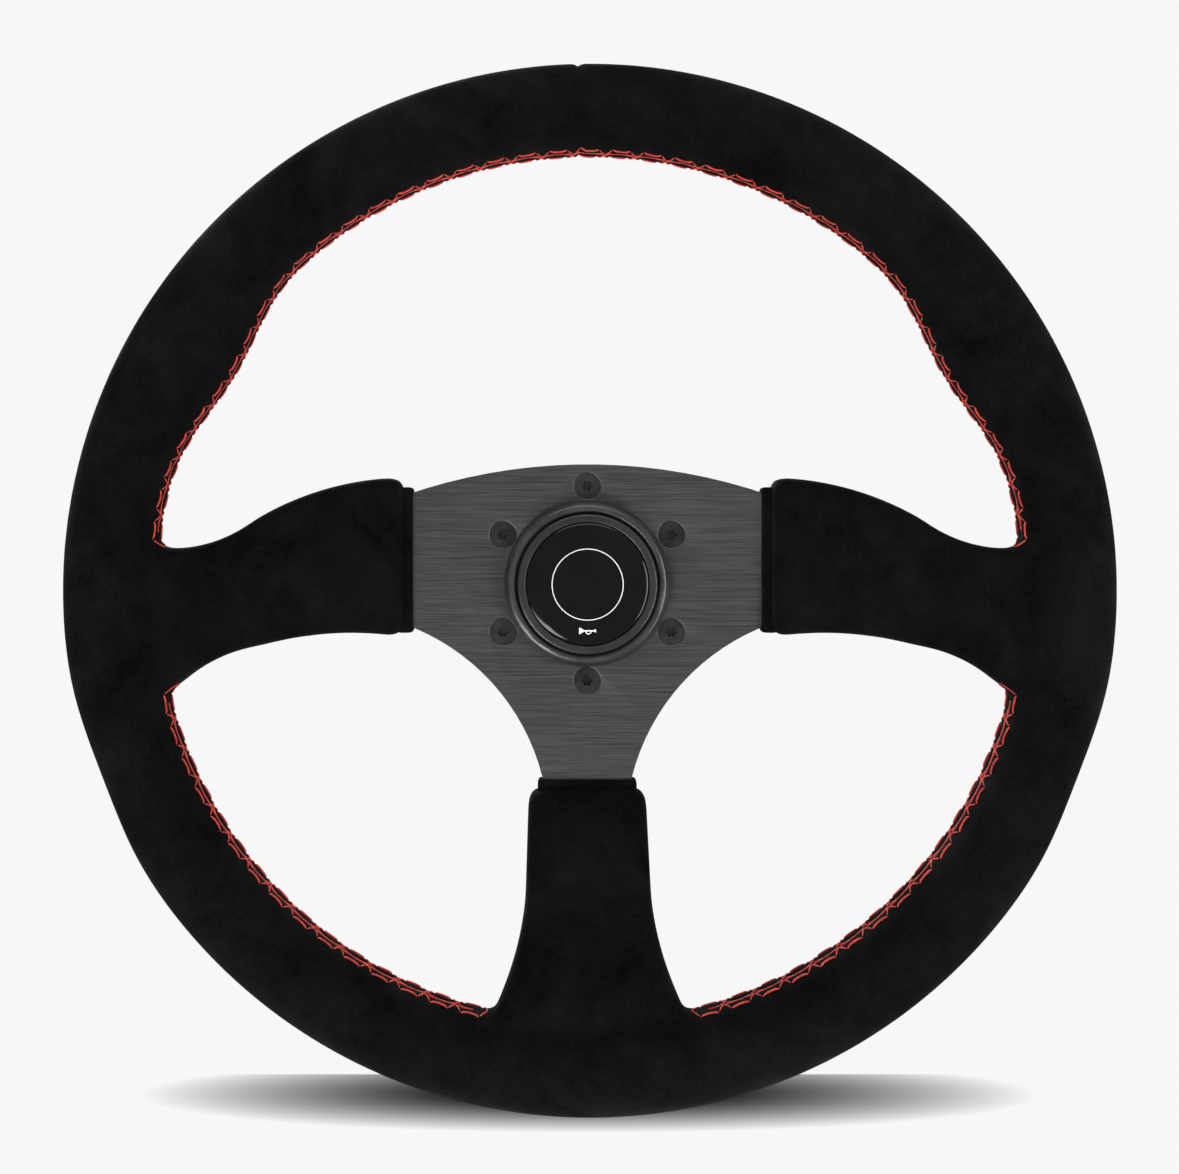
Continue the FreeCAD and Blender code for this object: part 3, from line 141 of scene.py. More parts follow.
def new_mesh_object(name: str, points: np.ndarray, faces: np.ndarray) -> bpy.types.Object:
    """Makes a mesh object from arrays.

    Args:
        name: The piece's name.
        points: Points in metres, one row each.
        faces: Faces as rows of point numbers.

    Returns:
        The object, linked to the scene.
    """
    mesh = bpy.data.meshes.new(name)
    mesh.from_pydata(points.tolist(), [], faces.tolist())
    mesh.update()
    obj = bpy.data.objects.new(name, mesh)
    bpy.context.scene.collection.objects.link(obj)
    return obj


def shade(obj: bpy.types.Object, angle: float | None = None) -> None:
    """Shades a mesh smooth.

    Args:
        obj: The piece.
        angle: Edges sharper than this, in degrees, stay sharp. None leaves none sharp.
    """
    mesh = obj.data
    mesh.shade_smooth()
    if angle is not None:
        mesh.set_sharp_from_angle(angle=math.radians(angle))


def softened(name: str, nodes: tuple[str, ...], bevel: float, segments: int = 2) -> bpy.types.Object:
    """Copies CAD nodes into one piece with their sharp edges broken.

    Args:
        name: The piece's name.
        nodes: The nodes it copies.
        bevel: Width of the broken edges, in metres.
        segments: Steps across each broken edge.

    Returns:
        The piece, shaded.
    """
    merged = bmesh.new()
    for node in nodes:
        merged.from_mesh(node_mesh(node).data)
    bmesh.ops.remove_doubles(merged, verts=merged.verts, dist=WELD)
    flat = [e for e in merged.edges if len(e.link_faces) == 2 and e.calc_face_angle(0) < FLAT_ANGLE]
    bmesh.ops.dissolve_edges(merged, edges=flat, use_verts=False)
    mesh = bpy.data.meshes.new(name)
    merged.to_mesh(mesh)
    merged.free()
    obj = bpy.data.objects.new(name, mesh)
    bpy.context.scene.collection.objects.link(obj)
    shade(obj, SHARP_ANGLE)
    if bevel > 0:
        breaker = obj.modifiers.new("edges", "BEVEL")
        breaker.width = bevel
        breaker.segments = segments
        breaker.limit_method = "ANGLE"
        breaker.angle_limit = math.radians(BEVEL_ANGLE)
        breaker.use_clamp_overlap = True
        breaker.harden_normals = True
        baked(obj)
    return obj


def lathed(name: str, profile: list[tuple[float, float]], steps: int = 128) -> bpy.types.Object:
    """Turns a profile about the wheel's axis.

    Args:
        name: The piece's name.
        profile: Radius and depth of each point, from the axis round and back to the axis.
        steps: Flats round the axis.

    Returns:
        The closed piece, with only its corners sharp.
    """
    points = [(0.0, profile[0][1], 0.0), (0.0, profile[-1][1], 0.0)]
    rings = profile[1:-1]
    for radius, depth in rings:
        for step in range(steps):
            turn = 2 * math.pi * step / steps
            points.append((radius * math.cos(turn), depth, radius * math.sin(turn)))
    faces: list[tuple[int, ...]] = []
    for step in range(steps):
        after = (step + 1) % steps
        faces.append((0, 2 + step, 2 + after))
        faces.append((1, 2 + (len(rings) - 1) * steps + after, 2 + (len(rings) - 1) * steps + step))
        for ring in range(len(rings) - 1):
            near, far = 2 + ring * steps, 2 + (ring + 1) * steps
            faces.append((near + step, far + step, far + after, near + after))
    obj = closed_piece(name, points, faces)
    shade(obj, CORNER_ANGLE)
    return obj


@dataclass(frozen=True)
class Coil:
    """A compression spring, wound between the ends of a CAD spring.

    Its body is the wheel, which its fixed end stays on. Its travel, how far the joint pushes its other
    end, is not used. It stops end_gap short of the parts at its ends.
    """

    name: str
    node: str
    wire: float
    turns: int
    joint: str
    fixed_y: float
    travel: float
    sides: int = 12
    steps: int = 48
    end_gap: float = 0.03 * MM

    def build(self) -> None:
        """Winds the wire between the ends of the CAD spring and puts it on the wheel in its place."""
        low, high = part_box(self.node)
        mean = high.x - self.wire / 2
        first = high.y - self.wire / 2 - self.end_gap
        last = low.y + self.wire / 2 + self.end_gap
        count = self.turns * self.steps
        rise = (last - first) / (2 * math.pi * self.turns)
        points: list[tuple[float, float, float]] = []
        for step in range(count + 1):
            turn = 2 * math.pi * self.turns * step / count
            out = Vector((math.cos(turn), 0.0, math.sin(turn)))
            along = Vector((-math.sin(turn) * mean, rise, math.cos(turn) * mean)).normalized()
            across = along.cross(out)
            middle = out * mean + Vector((0.0, first + rise * turn, 0.0))
            for side in range(self.sides):
                angle = 2 * math.pi * side / self.sides
                reach = out * math.cos(angle) + across * math.sin(angle)
                points.append(tuple(middle + reach * self.wire / 2))
        faces: list[tuple[int, ...]] = [tuple(range(self.sides))]
        for ring in range(count):
            near, far = ring * self.sides, (ring + 1) * self.sides
            for side in range(self.sides):
                after = (side + 1) % self.sides
                faces.append((near + side, far + side, far + after, near + after))
        faces.append(tuple(range(count * self.sides, (count + 1) * self.sides)))
        obj = closed_piece(self.name, points, faces)
        shade(obj, CORNER_ANGLE)
        dressed(obj, Slot.SPRING_STEEL, Body.WHEEL, (self.node,))
        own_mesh(obj)


def closed_piece(
    name: str, points: list[tuple[float, float, float]], faces: list[tuple[int, ...]]
) -> bpy.types.Object:
    """Makes a closed mesh object whose faces all look outwards.

    Args:
        name: The piece's name.
        points: Points in metres.
        faces: Faces as point numbers.

    Returns:
        The object, linked to the scene.
    """
    mesh = bpy.data.meshes.new(name)
    mesh.from_pydata(points, [], faces)
    work = bmesh.new()
    work.from_mesh(mesh)
    bmesh.ops.recalc_face_normals(work, faces=work.faces)
    work.to_mesh(mesh)
    work.free()
    obj = bpy.data.objects.new(name, mesh)
    bpy.context.scene.collection.objects.link(obj)
    return obj


def baked(obj: bpy.types.Object) -> bpy.types.Object:
    """Turns an object's modifiers into plain mesh and removes them.

    Args:
        obj: The object.

    Returns:
        The same object.
    """
    graph = bpy.context.evaluated_depsgraph_get()
    graph.update()
    mesh = bpy.data.meshes.new_from_object(obj.evaluated_get(graph), depsgraph=graph)
    obj.modifiers.clear()
    obj.data = mesh
    mesh.name = obj.name
    return obj


def surface_tree(obj: bpy.types.Object) -> BVHTree:
    """Returns a search tree over a mesh."""
    points, triangles = mesh_arrays(obj)
    return BVHTree.FromPolygons(points.tolist(), triangles.tolist())


# ------------------------------------------------------------------------------ materials


class Shader:
    """A material's node tree, with short calls for the nodes the finishes use."""

    def __init__(self, name: str) -> None:
        """Makes the material and its Principled shader."""
        self.material = bpy.data.materials.new(name)
        self.material.use_nodes = True
        self.tree = self.material.node_tree
        self.tree.nodes.clear()
        self.output = self.tree.nodes.new("ShaderNodeOutputMaterial")
        self.base = self.tree.nodes.new("ShaderNodeBsdfPrincipled")
        self.link(self.base.outputs[0], self.output.inputs["Surface"])
        self.place = self.tree.nodes.new("ShaderNodeTexCoord").outputs["Object"]

    def link(self, start: bpy.types.NodeSocket, end: bpy.types.NodeSocket) -> None:
        """Joins two sockets."""
        self.tree.links.new(start, end)

    def set(self, **values: float | tuple[float, ...]) -> None:
        """Sets the Principled shader's sockets by name, with _ for a space."""
        for key, value in values.items():
            self.base.inputs[key.replace("_", " ")].default_value = value

    def mapped(
        self,
        scale: tuple[float, float, float],
        offset: tuple[float, float, float] = (0.0, 0.0, 0.0),
        turn: tuple[float, float, float] = (0.0, 0.0, 0.0),
    ) -> bpy.types.NodeSocket:
        """Object coordinates, moved, turned and scaled."""
        node = self.tree.nodes.new("ShaderNodeMapping")
        node.inputs["Scale"].default_value = scale
        node.inputs["Location"].default_value = offset
        node.inputs["Rotation"].default_value = turn
        self.link(self.place, node.inputs["Vector"])
        return node.outputs[0]

    def noise(
        self,
        scale: float,
        detail: float = 2.0,
        roughness: float = 0.5,
        vector: bpy.types.NodeSocket | None = None,
        distortion: float = 0.0,
    ) -> bpy.types.NodeSocket:
        """Fractal noise, as a factor."""
        node = self.tree.nodes.new("ShaderNodeTexNoise")
        node.inputs["Scale"].default_value = scale
        node.inputs["Detail"].default_value = detail
        node.inputs["Roughness"].default_value = roughness
        node.inputs["Distortion"].default_value = distortion
        self.link(vector or self.place, node.inputs["Vector"])
        return node.outputs["Fac"]

    def ramp(
        self,
        factor: bpy.types.NodeSocket,
        stops: list[tuple[float, tuple[float, float, float]]],
    ) -> bpy.types.NodeSocket:
        """Colours along a factor."""
        node = self.tree.nodes.new("ShaderNodeValToRGB")
        band = node.color_ramp
        while len(band.elements) < len(stops):
            band.elements.new(1.0)
        for element, (position, colour) in zip(band.elements, stops):
            element.position = position
            element.color = (*colour, 1.0)
        self.link(factor, node.inputs["Fac"])
        return node.outputs["Color"]

    def spread(
        self, factor: bpy.types.NodeSocket, low: float, high: float
    ) -> bpy.types.NodeSocket:
        """Maps a factor from 0.3 to 0.7 onto low to high."""
        node = self.tree.nodes.new("ShaderNodeMapRange")
        node.inputs["From Min"].default_value = 0.3
        node.inputs["From Max"].default_value = 0.7
        node.inputs["To Min"].default_value = low
        node.inputs["To Max"].default_value = high
        self.link(factor, node.inputs["Value"])
        return node.outputs["Result"]

    def math(
        self,
        operation: str,
        first: bpy.types.NodeSocket,
        second: bpy.types.NodeSocket | float,
    ) -> bpy.types.NodeSocket:
        """One sum on two values."""
        node = self.tree.nodes.new("ShaderNodeMath")
        node.operation = operation
        self.link(first, node.inputs[0])
        if isinstance(second, (int, float)):
            node.inputs[1].default_value = second
        else:
            self.link(second, node.inputs[1])
        return node.outputs[0]

    def bump(
        self,
        height: bpy.types.NodeSocket,
        depth: float,
        under: bpy.types.NodeSocket | None = None,
    ) -> bpy.types.NodeSocket:
        """A bump of a real depth in metres, over another one if given."""
        node = self.tree.nodes.new("ShaderNodeBump")
        node.inputs["Distance"].default_value = depth
        self.link(height, node.inputs["Height"])
        if under is not None:
            self.link(under, node.inputs["Normal"])
        return node.outputs[0]

    def colour(self, socket: bpy.types.NodeSocket) -> None:
        """Feeds the base colour."""
        self.link(socket, self.base.inputs["Base Color"])

    def roughness(self, socket: bpy.types.NodeSocket) -> None:
        """Feeds the roughness."""
        self.link(socket, self.base.inputs["Roughness"])

    def normal(self, socket: bpy.types.NodeSocket) -> None:
        """Feeds the normal."""
        self.link(socket, self.base.inputs["Normal"])


@dataclass(frozen=True)
class SuedeFinish:
    """Black suede: a short mottled nap with a faint sheen."""

    name: str = "black suede"
    dark: float = 0.0006
    light: float = 0.0052

    def material(self) -> bpy.types.Material:
        """Builds the material."""
        s = Shader(self.name)
        broad = s.noise(34.0, 4.0, 0.6, distortion=0.6)
        patch = s.noise(140.0, 3.0, 0.6)
        nap = s.noise(1100.0, 3.0, 0.7)
        mix = s.math("ADD", s.math("MULTIPLY", broad, 0.4), s.math("MULTIPLY", patch, 0.25))
        mix = s.math("ADD", mix, s.math("MULTIPLY", nap, 0.35))
        low, high = self.dark, self.light
        tint = s.ramp(mix, [(0.38, (low, low, low * 1.02)), (0.62, (high, high, high * 1.03))])
        s.colour(tint)
        s.link(s.spread(broad, 0.0, 0.05), s.base.inputs["Sheen Weight"])
        s.roughness(s.spread(patch, 0.92, 1.0))
        fibres = s.bump(nap, 0.00009)
        s.normal(s.bump(patch, 0.00012, fibres))
        s.set(Specular_IOR_Level=0.05, Sheen_Roughness=0.45)
        s.set(Sheen_Tint=(0.75, 0.75, 0.78, 1.0))
        return s.material


@dataclass(frozen=True)
class ThreadFinish:
    """Waxed red thread with a twist."""

    name: str = "red thread"

    def material(self) -> bpy.types.Material:
        """Builds the material."""
        s = Shader(self.name)
        tone = s.noise(420.0, 2.0, 0.5)
        s.colour(s.ramp(tone, [(0.3, (0.33, 0.014, 0.010)), (0.7, (0.66, 0.048, 0.028))]))
        twist = s.noise(1.0, 1.0, 0.5, s.mapped((2600.0, 900.0, 2600.0), turn=(0.0, 0.6, 0.0)))
        s.normal(s.bump(twist, 0.00012))
        s.set(Roughness=0.55, Sheen_Weight=0.15, Specular_IOR_Level=0.35)
        return s.material


@dataclass(frozen=True)
class BrushedFinish:
    """Brushed metal with its grain along the wheel's width."""

    name: str
    dark: tuple[float, float, float]
    light: tuple[float, float, float]
    rough: float
    metallic: float = 1.0
    depth: float = 0.00003

    def material(self) -> bpy.types.Material:
        """Builds the material."""
        s = Shader(self.name)
        grain = s.noise(1.0, 4.0, 0.6, s.mapped((60.0, 1300.0, 5200.0)))
        streak = s.noise(1.0, 3.0, 0.55, s.mapped((30.0, 650.0, 2600.0)))
        cloud = s.noise(16.0, 2.0, 0.5)
        mix = s.math("ADD", s.math("MULTIPLY", grain, 0.55), s.math("MULTIPLY", streak, 0.35))
        mix = s.math("ADD", mix, s.math("MULTIPLY", cloud, 0.1))
        s.colour(s.ramp(mix, [(0.38, self.dark), (0.62, self.light)]))
        s.roughness(s.spread(grain, self.rough - 0.07, self.rough + 0.09))
        s.normal(s.bump(streak, self.depth / 2, s.bump(grain, self.depth)))
        s.set(Metallic=self.metallic)
        return s.material


@dataclass(frozen=True)
class TurnedFinish:
    """Metal turned about the wheel's axis, with faint rings and handling marks."""

    name: str
    dark: tuple[float, float, float]
    light: tuple[float, float, float]
    rough: float
    metallic: float = 1.0
    ring_pitch: float = 0.00035

    def material(self) -> bpy.types.Material:
        """Builds the material."""
        s = Shader(self.name)
        rings = s.tree.nodes.new("ShaderNodeTexWave")
        rings.wave_type = "RINGS"
        rings.rings_direction = "Y"
        rings.inputs["Scale"].default_value = 0.05 / self.ring_pitch
        rings.inputs["Distortion"].default_value = 0.6
        rings.inputs["Detail"].default_value = 2.0
        s.link(s.place, rings.inputs["Vector"])
        marks = s.noise(120.0, 4.0, 0.65)
        speck = s.noise(1400.0, 2.0, 0.5)
        s.colour(s.ramp(marks, [(0.35, self.dark), (0.65, self.light)]))
        s.roughness(s.spread(marks, self.rough - 0.05, self.rough + 0.1))
        s.normal(s.bump(speck, 0.000012, s.bump(rings.outputs["Fac"], 0.000003)))
        s.set(Metallic=self.metallic)
        return s.material


@dataclass(frozen=True)
class MouldedFinish:
    """Moulded plastic, foam or resin with a fine surface texture."""

    name: str
    dark: tuple[float, float, float]
    light: tuple[float, float, float]
    rough: float
    grain: float = 900.0
    depth: float = 0.00003
    specular: float = 0.5
    coat: float = 0.0

    def material(self) -> bpy.types.Material:
        """Builds the material."""
        s = Shader(self.name)
        tone = s.noise(90.0, 3.0, 0.6)
        texture = s.noise(self.grain, 2.0, 0.5)
        s.colour(s.ramp(tone, [(0.35, self.dark), (0.65, self.light)]))
        s.roughness(s.spread(texture, max(self.rough - 0.04, 0.01), self.rough + 0.06))
        s.normal(s.bump(texture, self.depth))
        s.set(Specular_IOR_Level=self.specular, Coat_Weight=self.coat, Coat_Roughness=0.04)
        return s.material


def grey(value: float, warmth: float = 0.0) -> tuple[float, float, float]:
    """A grey, warmer with a positive warmth."""
    return (value * (1 + warmth), value, value * (1 - warmth))


FINISHES: dict[Slot, bpy.types.Material] = {}


def make_finishes() -> None:
    """Builds one material for every slot."""
    FINISHES[Slot.SUEDE] = SuedeFinish().material()
    FINISHES[Slot.THREAD] = ThreadFinish().material()
    FINISHES[Slot.FOAM] = MouldedFinish(
        "foam", grey(0.02), grey(0.04), 0.9, 1100.0, 0.0002, 0.2
    ).material()
    FINISHES[Slot.BLACK_PLATE] = BrushedFinish(
        "brushed black plate", grey(0.052, -0.03), grey(0.096, -0.03), 0.5
    ).material()
    FINISHES[Slot.BLACK_METAL] = TurnedFinish(
        "satin black metal", grey(0.045), grey(0.065), 0.28, 0.6
    ).material()
    FINISHES[Slot.BLACK_STEEL] = TurnedFinish(
        "black oxide steel", grey(0.02, -0.02), grey(0.034, -0.02), 0.32, 0.6, 0.0005
    ).material()
    FINISHES[Slot.STEEL] = TurnedFinish("turned steel", grey(0.42), grey(0.52), 0.3).material()
    FINISHES[Slot.BRIGHT_STEEL] = TurnedFinish(
        "bearing steel", grey(0.62), grey(0.7), 0.09, 1.0, 0.0008
    ).material()
    FINISHES[Slot.SPRING_STEEL] = TurnedFinish(
        "spring wire", grey(0.24), grey(0.34), 0.34, 1.0, 0.0006
    ).material()
    FINISHES[Slot.BLACK_PLASTIC] = MouldedFinish(
        "black moulding", grey(0.010), grey(0.016), 0.34
    ).material()
    FINISHES[Slot.EMBLEM_PRINT] = MouldedFinish(
        "printed disc", grey(0.006), grey(0.008), 0.5, 400.0, 0.00001
    ).material()
    FINISHES[Slot.CLEAR_DOME] = MouldedFinish(
        "polished resin", grey(0.0015), grey(0.0022), 0.08, 60.0, 0.000004, 0.25, 0.0
    ).material()
    FINISHES[Slot.CONTACT_BRASS] = TurnedFinish(
        "contact brass", (0.56, 0.38, 0.14), (0.68, 0.48, 0.2), 0.3
    ).material()


def dressed(
    obj: bpy.types.Object, slot: Slot, body: Body | str, replaced: tuple[str, ...] = ()
) -> bpy.types.Object:
    """Gives a finished piece its material and its place in the frame.

    Args:
        obj: The piece, at the origin.
        slot: The record's slot its finish belongs to.
        body: The body it moves with.
        replaced: CAD nodes that it stands for.

    Returns:
        The same piece.
    """
    obj.data.materials.clear()
    obj.data.materials.append(FINISHES[slot])
    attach(obj, body.value if isinstance(body, Body) else body)
    if replaced:
        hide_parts(*replaced)
    LOG.info("%s: %d faces, %s", obj.name, len(obj.data.polygons), slot.value)
    return obj


# ------------------------------------------------------------------------------ covering


@dataclass
class Skin:
    """A soft skin stretched over CAD solids, made from their smoothed distance field."""

    name: str
    voxel: float
    smoothing: float
    stretch: float

    def distance(self, node: str, low: np.ndarray, count: np.ndarray) -> np.ndarray:
        """Samples a node's signed distance.

        Args:
            node: The CAD node.
            low: The field's lowest cell, as whole numbers of voxels.
            count: How many cells the field has each way.

        Returns:
            The distance in metres at each cell, limited to a few voxels.
        """
        points, triangles = mesh_arrays(node_mesh(node))
        grid = vdb.FloatGrid.createLevelSetFromPolygons(
            points,
            triangles=triangles.astype(np.uint32),
            transform=vdb.createLinearTransform(self.voxel),
            halfWidth=7,
        )
        field = np.empty(tuple(int(c) for c in count), np.float32)
        grid.copyToArray(field, ijk=tuple(int(v) for v in low))
        return field

    def smooth(self, field: np.ndarray) -> np.ndarray:
        """Blurs a field by the smoothing length, one axis at a time."""
        sigma = self.smoothing / self.voxel
        reach = int(math.ceil(2.6 * sigma))
        steps = np.arange(-reach, reach + 1)
        weights = np.exp(-0.5 * (steps / sigma) ** 2).astype(np.float32)
        weights /= weights.sum()
        for axis in range(3):
            total = np.zeros_like(field)
            for step, weight in zip(steps, weights):
                total += weight * np.roll(field, int(step), axis)
            field = total
        return field

    def build(
        self, nodes: dict[str, float], clip: dict[str, np.ndarray] | None = None
    ) -> bpy.types.Object:
        """Makes the skin.

        Args:
            nodes: CAD nodes it wraps, each with how far it is grown first, in metres.
            clip: For a node, the corners of the boxes outside which it is ignored.

        Returns:
            The piece, smooth shaded.
        """
        margin = 10 * self.voxel
        boxes = [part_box(n) for n in nodes if not (clip and n in clip)]
        low = np.min([np.array(b[0]) for b in boxes], axis=0) - margin
        high = np.max([np.array(b[1]) for b in boxes], axis=0) + margin
        first = np.floor(low / self.voxel).astype(int)
        count = np.ceil(high / self.voxel).astype(int) - first
        union = None
        for node, growth in nodes.items():
            field = self.distance(node, first, count) - growth
            if clip and node in clip:
                field = self.clipped(field, first, clip[node])
            union = field if union is None else np.minimum(union, field)
        union = self.smooth(union)
        grid = vdb.FloatGrid(float(union.max()))
        grid.copyFromArray(union, ijk=tuple(int(v) for v in first))
        grid.transform = vdb.createLinearTransform(self.voxel)
        points, quads = grid.convertToQuads(isovalue=self.stretch)
        obj = new_mesh_object(self.name, points, quads)
        self.clean(obj)
        return obj

    def clipped(self, field: np.ndarray, first: np.ndarray, boxes: np.ndarray) -> np.ndarray:
        """Ignores a field outside some boxes."""
        keep = np.zeros(field.shape, bool)
        for low, high in boxes:
            a = np.maximum(np.floor(low / self.voxel).astype(int) - first, 0)
            b = np.maximum(np.ceil(high / self.voxel).astype(int) - first, 0)
            keep[a[0] : b[0], a[1] : b[1], a[2] : b[2]] = True
        return np.where(keep, field, np.float32(7 * self.voxel))

    def clean(self, obj: bpy.types.Object) -> None:
        """Keeps the largest connected surface, faces outwards, smooth shaded."""
        work = bmesh.new()
        work.from_mesh(obj.data)
        work.verts.ensure_lookup_table()
        seen = np.zeros(len(work.verts), bool)
        islands = []
        for start in work.verts:
            if seen[start.index]:
                continue
            seen[start.index] = True
            island, ends = [start], [start]
            while ends:
                here = ends.pop()
                for edge in here.link_edges:
                    other = edge.other_vert(here)
                    if not seen[other.index]:
                        seen[other.index] = True
                        island.append(other)
                        ends.append(other)
            islands.append(island)
        islands.sort(key=len, reverse=True)
        for island in islands[1:]:
            bmesh.ops.delete(work, geom=island, context="VERTS")
        bmesh.ops.recalc_face_normals(work, faces=work.faces)
        if work.calc_volume(signed=True) < 0:
            bmesh.ops.reverse_faces(work, faces=work.faces)
        work.to_mesh(obj.data)
        work.free()
        shade(obj)


@dataclass
class Seam:
    """One run of cross stitching along the grip's inner edge."""

    start: float
    end: float


@dataclass
class Covering:
    """The suede of the rim and spokes, its hems and its stitching."""

    grip_radius: float = 160.0 * MM
    voxel: float = 1.15 * MM
    smoothing: float = 2.3 * MM
    stretch: float = 0.35 * MM
    groove_depth: float = 0.9 * MM
    groove_half: float = 1.3 * MM
    joint_angle: float = 91.3
    joint_depth: float = 0.8 * MM
    joint_half: float = 1.0 * MM
    inner_fade: float = 4 * MM
    end_fade: float = 3.0
    pull_depth: float = 0.18 * MM
    pull_half: float = 1.4 * MM
    grip_half: float = 15 * MM
    core_growth: float = 0.9 * MM
    metal_growth: float = 0.4 * MM
    pad_growth: float = 1.7 * MM
    side_shift: float = 0.06
    crossing_weight: float = 0.72
    stitch_pitch: float = 10.5 * MM
    stitch_row: float = 4.5 * MM
    thread_radius: float = 0.33 * MM
    seams: tuple[Seam, ...] = (Seam(5.8, 174.2), Seam(192.9, 256.3), Seam(283.7, 347.1))

    def build(self) -> None:
        """Builds every covering piece."""
        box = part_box("rim_cover")
        self.middle = (box[0][1] + box[1][1]) / 2
        self.suede = self.make_suede()
        self.stitch()
        self.make_hems()

    def make_suede(self) -> bpy.types.Object:
        """Makes the one skin of the rim and its three spokes."""
        pads = ("left_spoke_pad", "right_spoke_pad", "lower_spoke_pad")
        covers = ("left_spoke_cover", "right_spoke_cover", "lower_spoke_cover")
        nodes = {"rim_cover": 0.0, "rim_core": self.core_growth}
        nodes |= {metal: self.metal_growth for metal in ("rim_ring", "rim_rivets", "spoke_plate")}
        nodes |= {cover: 0.0 for cover in covers} | {pad: self.pad_growth for pad in pads}
        inside = np.array([[list(corner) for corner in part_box(pad)] for pad in pads])
        obj = Skin("suede_cover", self.voxel, self.smoothing, self.stretch).build(
            nodes, {"spoke_plate": inside}
        )
        self.mark(obj)
        dressed(obj, Slot.SUEDE, Body.WHEEL, ("rim_cover", *covers))
        return obj

    def mark(self, obj: bpy.types.Object) -> None:
        """Presses the stitched seam and the joint at the top into the suede."""
        mesh = obj.data
        points = np.empty(len(mesh.vertices) * 3, np.float64)
        mesh.vertices.foreach_get("co", points)
        points = points.reshape(-1, 3)
        normals = np.empty_like(points).reshape(-1)
        mesh.vertices.foreach_get("normal", normals)
        normals = normals.reshape(-1, 3)
        radius = np.hypot(points[:, 0], points[:, 2])
        angle = np.degrees(np.arctan2(points[:, 2], points[:, 0])) % 360
        across = points[:, 1] - self.middle
        inner = np.clip((self.grip_radius - radius) / self.inner_fade, 0, 1)
        along = np.zeros(len(points))
        for seam in self.seams:
            edge = np.minimum(angle - seam.start, seam.end - angle)
            along = np.maximum(along, np.clip(edge / self.end_fade, 0, 1))
        depth = self.groove_depth * np.exp(-((across / self.groove_half) ** 2)) * inner * along
        wave = np.cos(2 * math.pi * np.radians(angle) * self.grip_radius / self.stitch_pitch)
        pull = np.exp(-(((np.abs(across) - self.stitch_row) / self.pull_half) ** 2))
        depth += self.pull_depth * pull * (0.5 + 0.5 * wave) * inner * along
        reach = np.radians(angle - self.joint_angle) * radius
        top = np.exp(-((reach / self.joint_half) ** 2)) * (points[:, 2] > 0)
        depth += self.joint_depth * top
        points -= normals * depth[:, None]
        mesh.vertices.foreach_set("co", points.astype(np.float32).reshape(-1))
        mesh.update()

    def grip_point(
        self, tree: BVHTree, theta: float, across: float, lift: float
    ) -> tuple[float, float, float]:
        """Finds a point on the grip by its place on the seam.

        Args:
            tree: The suede's surface.
            theta: Angle round the rim, in degrees.
            across: Distance from the seam over the surface, positive towards the driver.
            lift: Height over the surface.

        Returns:
            The point.
        """
        c, s = math.cos(math.radians(theta)), math.sin(math.radians(theta))
        centre = Vector((self.grip_radius * c, self.middle, self.grip_radius * s))
        inward = Vector((-c, 0.0, -s))
        hit = tree.ray_cast(centre, inward)
        turn = across / (hit[3] if hit[0] else self.grip_half)
        out = inward * math.cos(turn) + Vector((0, -1, 0)) * math.sin(turn)
        hit = tree.ray_cast(centre, out)
        if hit[0] is None:
            return tuple(centre + out * self.grip_half)
        return tuple(hit[0] + out * lift)

    def stitch(self) -> None:
        """Sews every seam and dresses the threads as one piece for each seam run."""
        tree = surface_tree(self.suede)
        names = ("upper_threads", "lower_left_threads", "lower_right_threads")
        nodes = (
            ("upper_left_stitching", "upper_right_stitching"),
            ("lower_left_stitching",),
            ("lower_right_stitching",),
        )
        for seam, name, stands_for in zip(self.seams, names, nodes):
            obj = self.threads(name, tree, seam)
            dressed(obj, Slot.THREAD, Body.WHEEL, stands_for)

    def threads(self, name: str, tree: BVHTree, seam: Seam) -> bpy.types.Object:
        """Lays the threads of one seam and gives them their thickness.

        Args:
            name: The piece's name.
            tree: The suede's surface.
            seam: Where the run starts and ends.

        Returns:
            The threads as a mesh.
        """
        span = math.radians(seam.end - seam.start) * (self.grip_radius - self.grip_half)
        count = int(round(span / self.stitch_pitch))
        points: list[tuple[float, float, float]] = []
        edges: list[tuple[int, int]] = []
        weights: list[float] = []
        row = self.stitch_row / MM
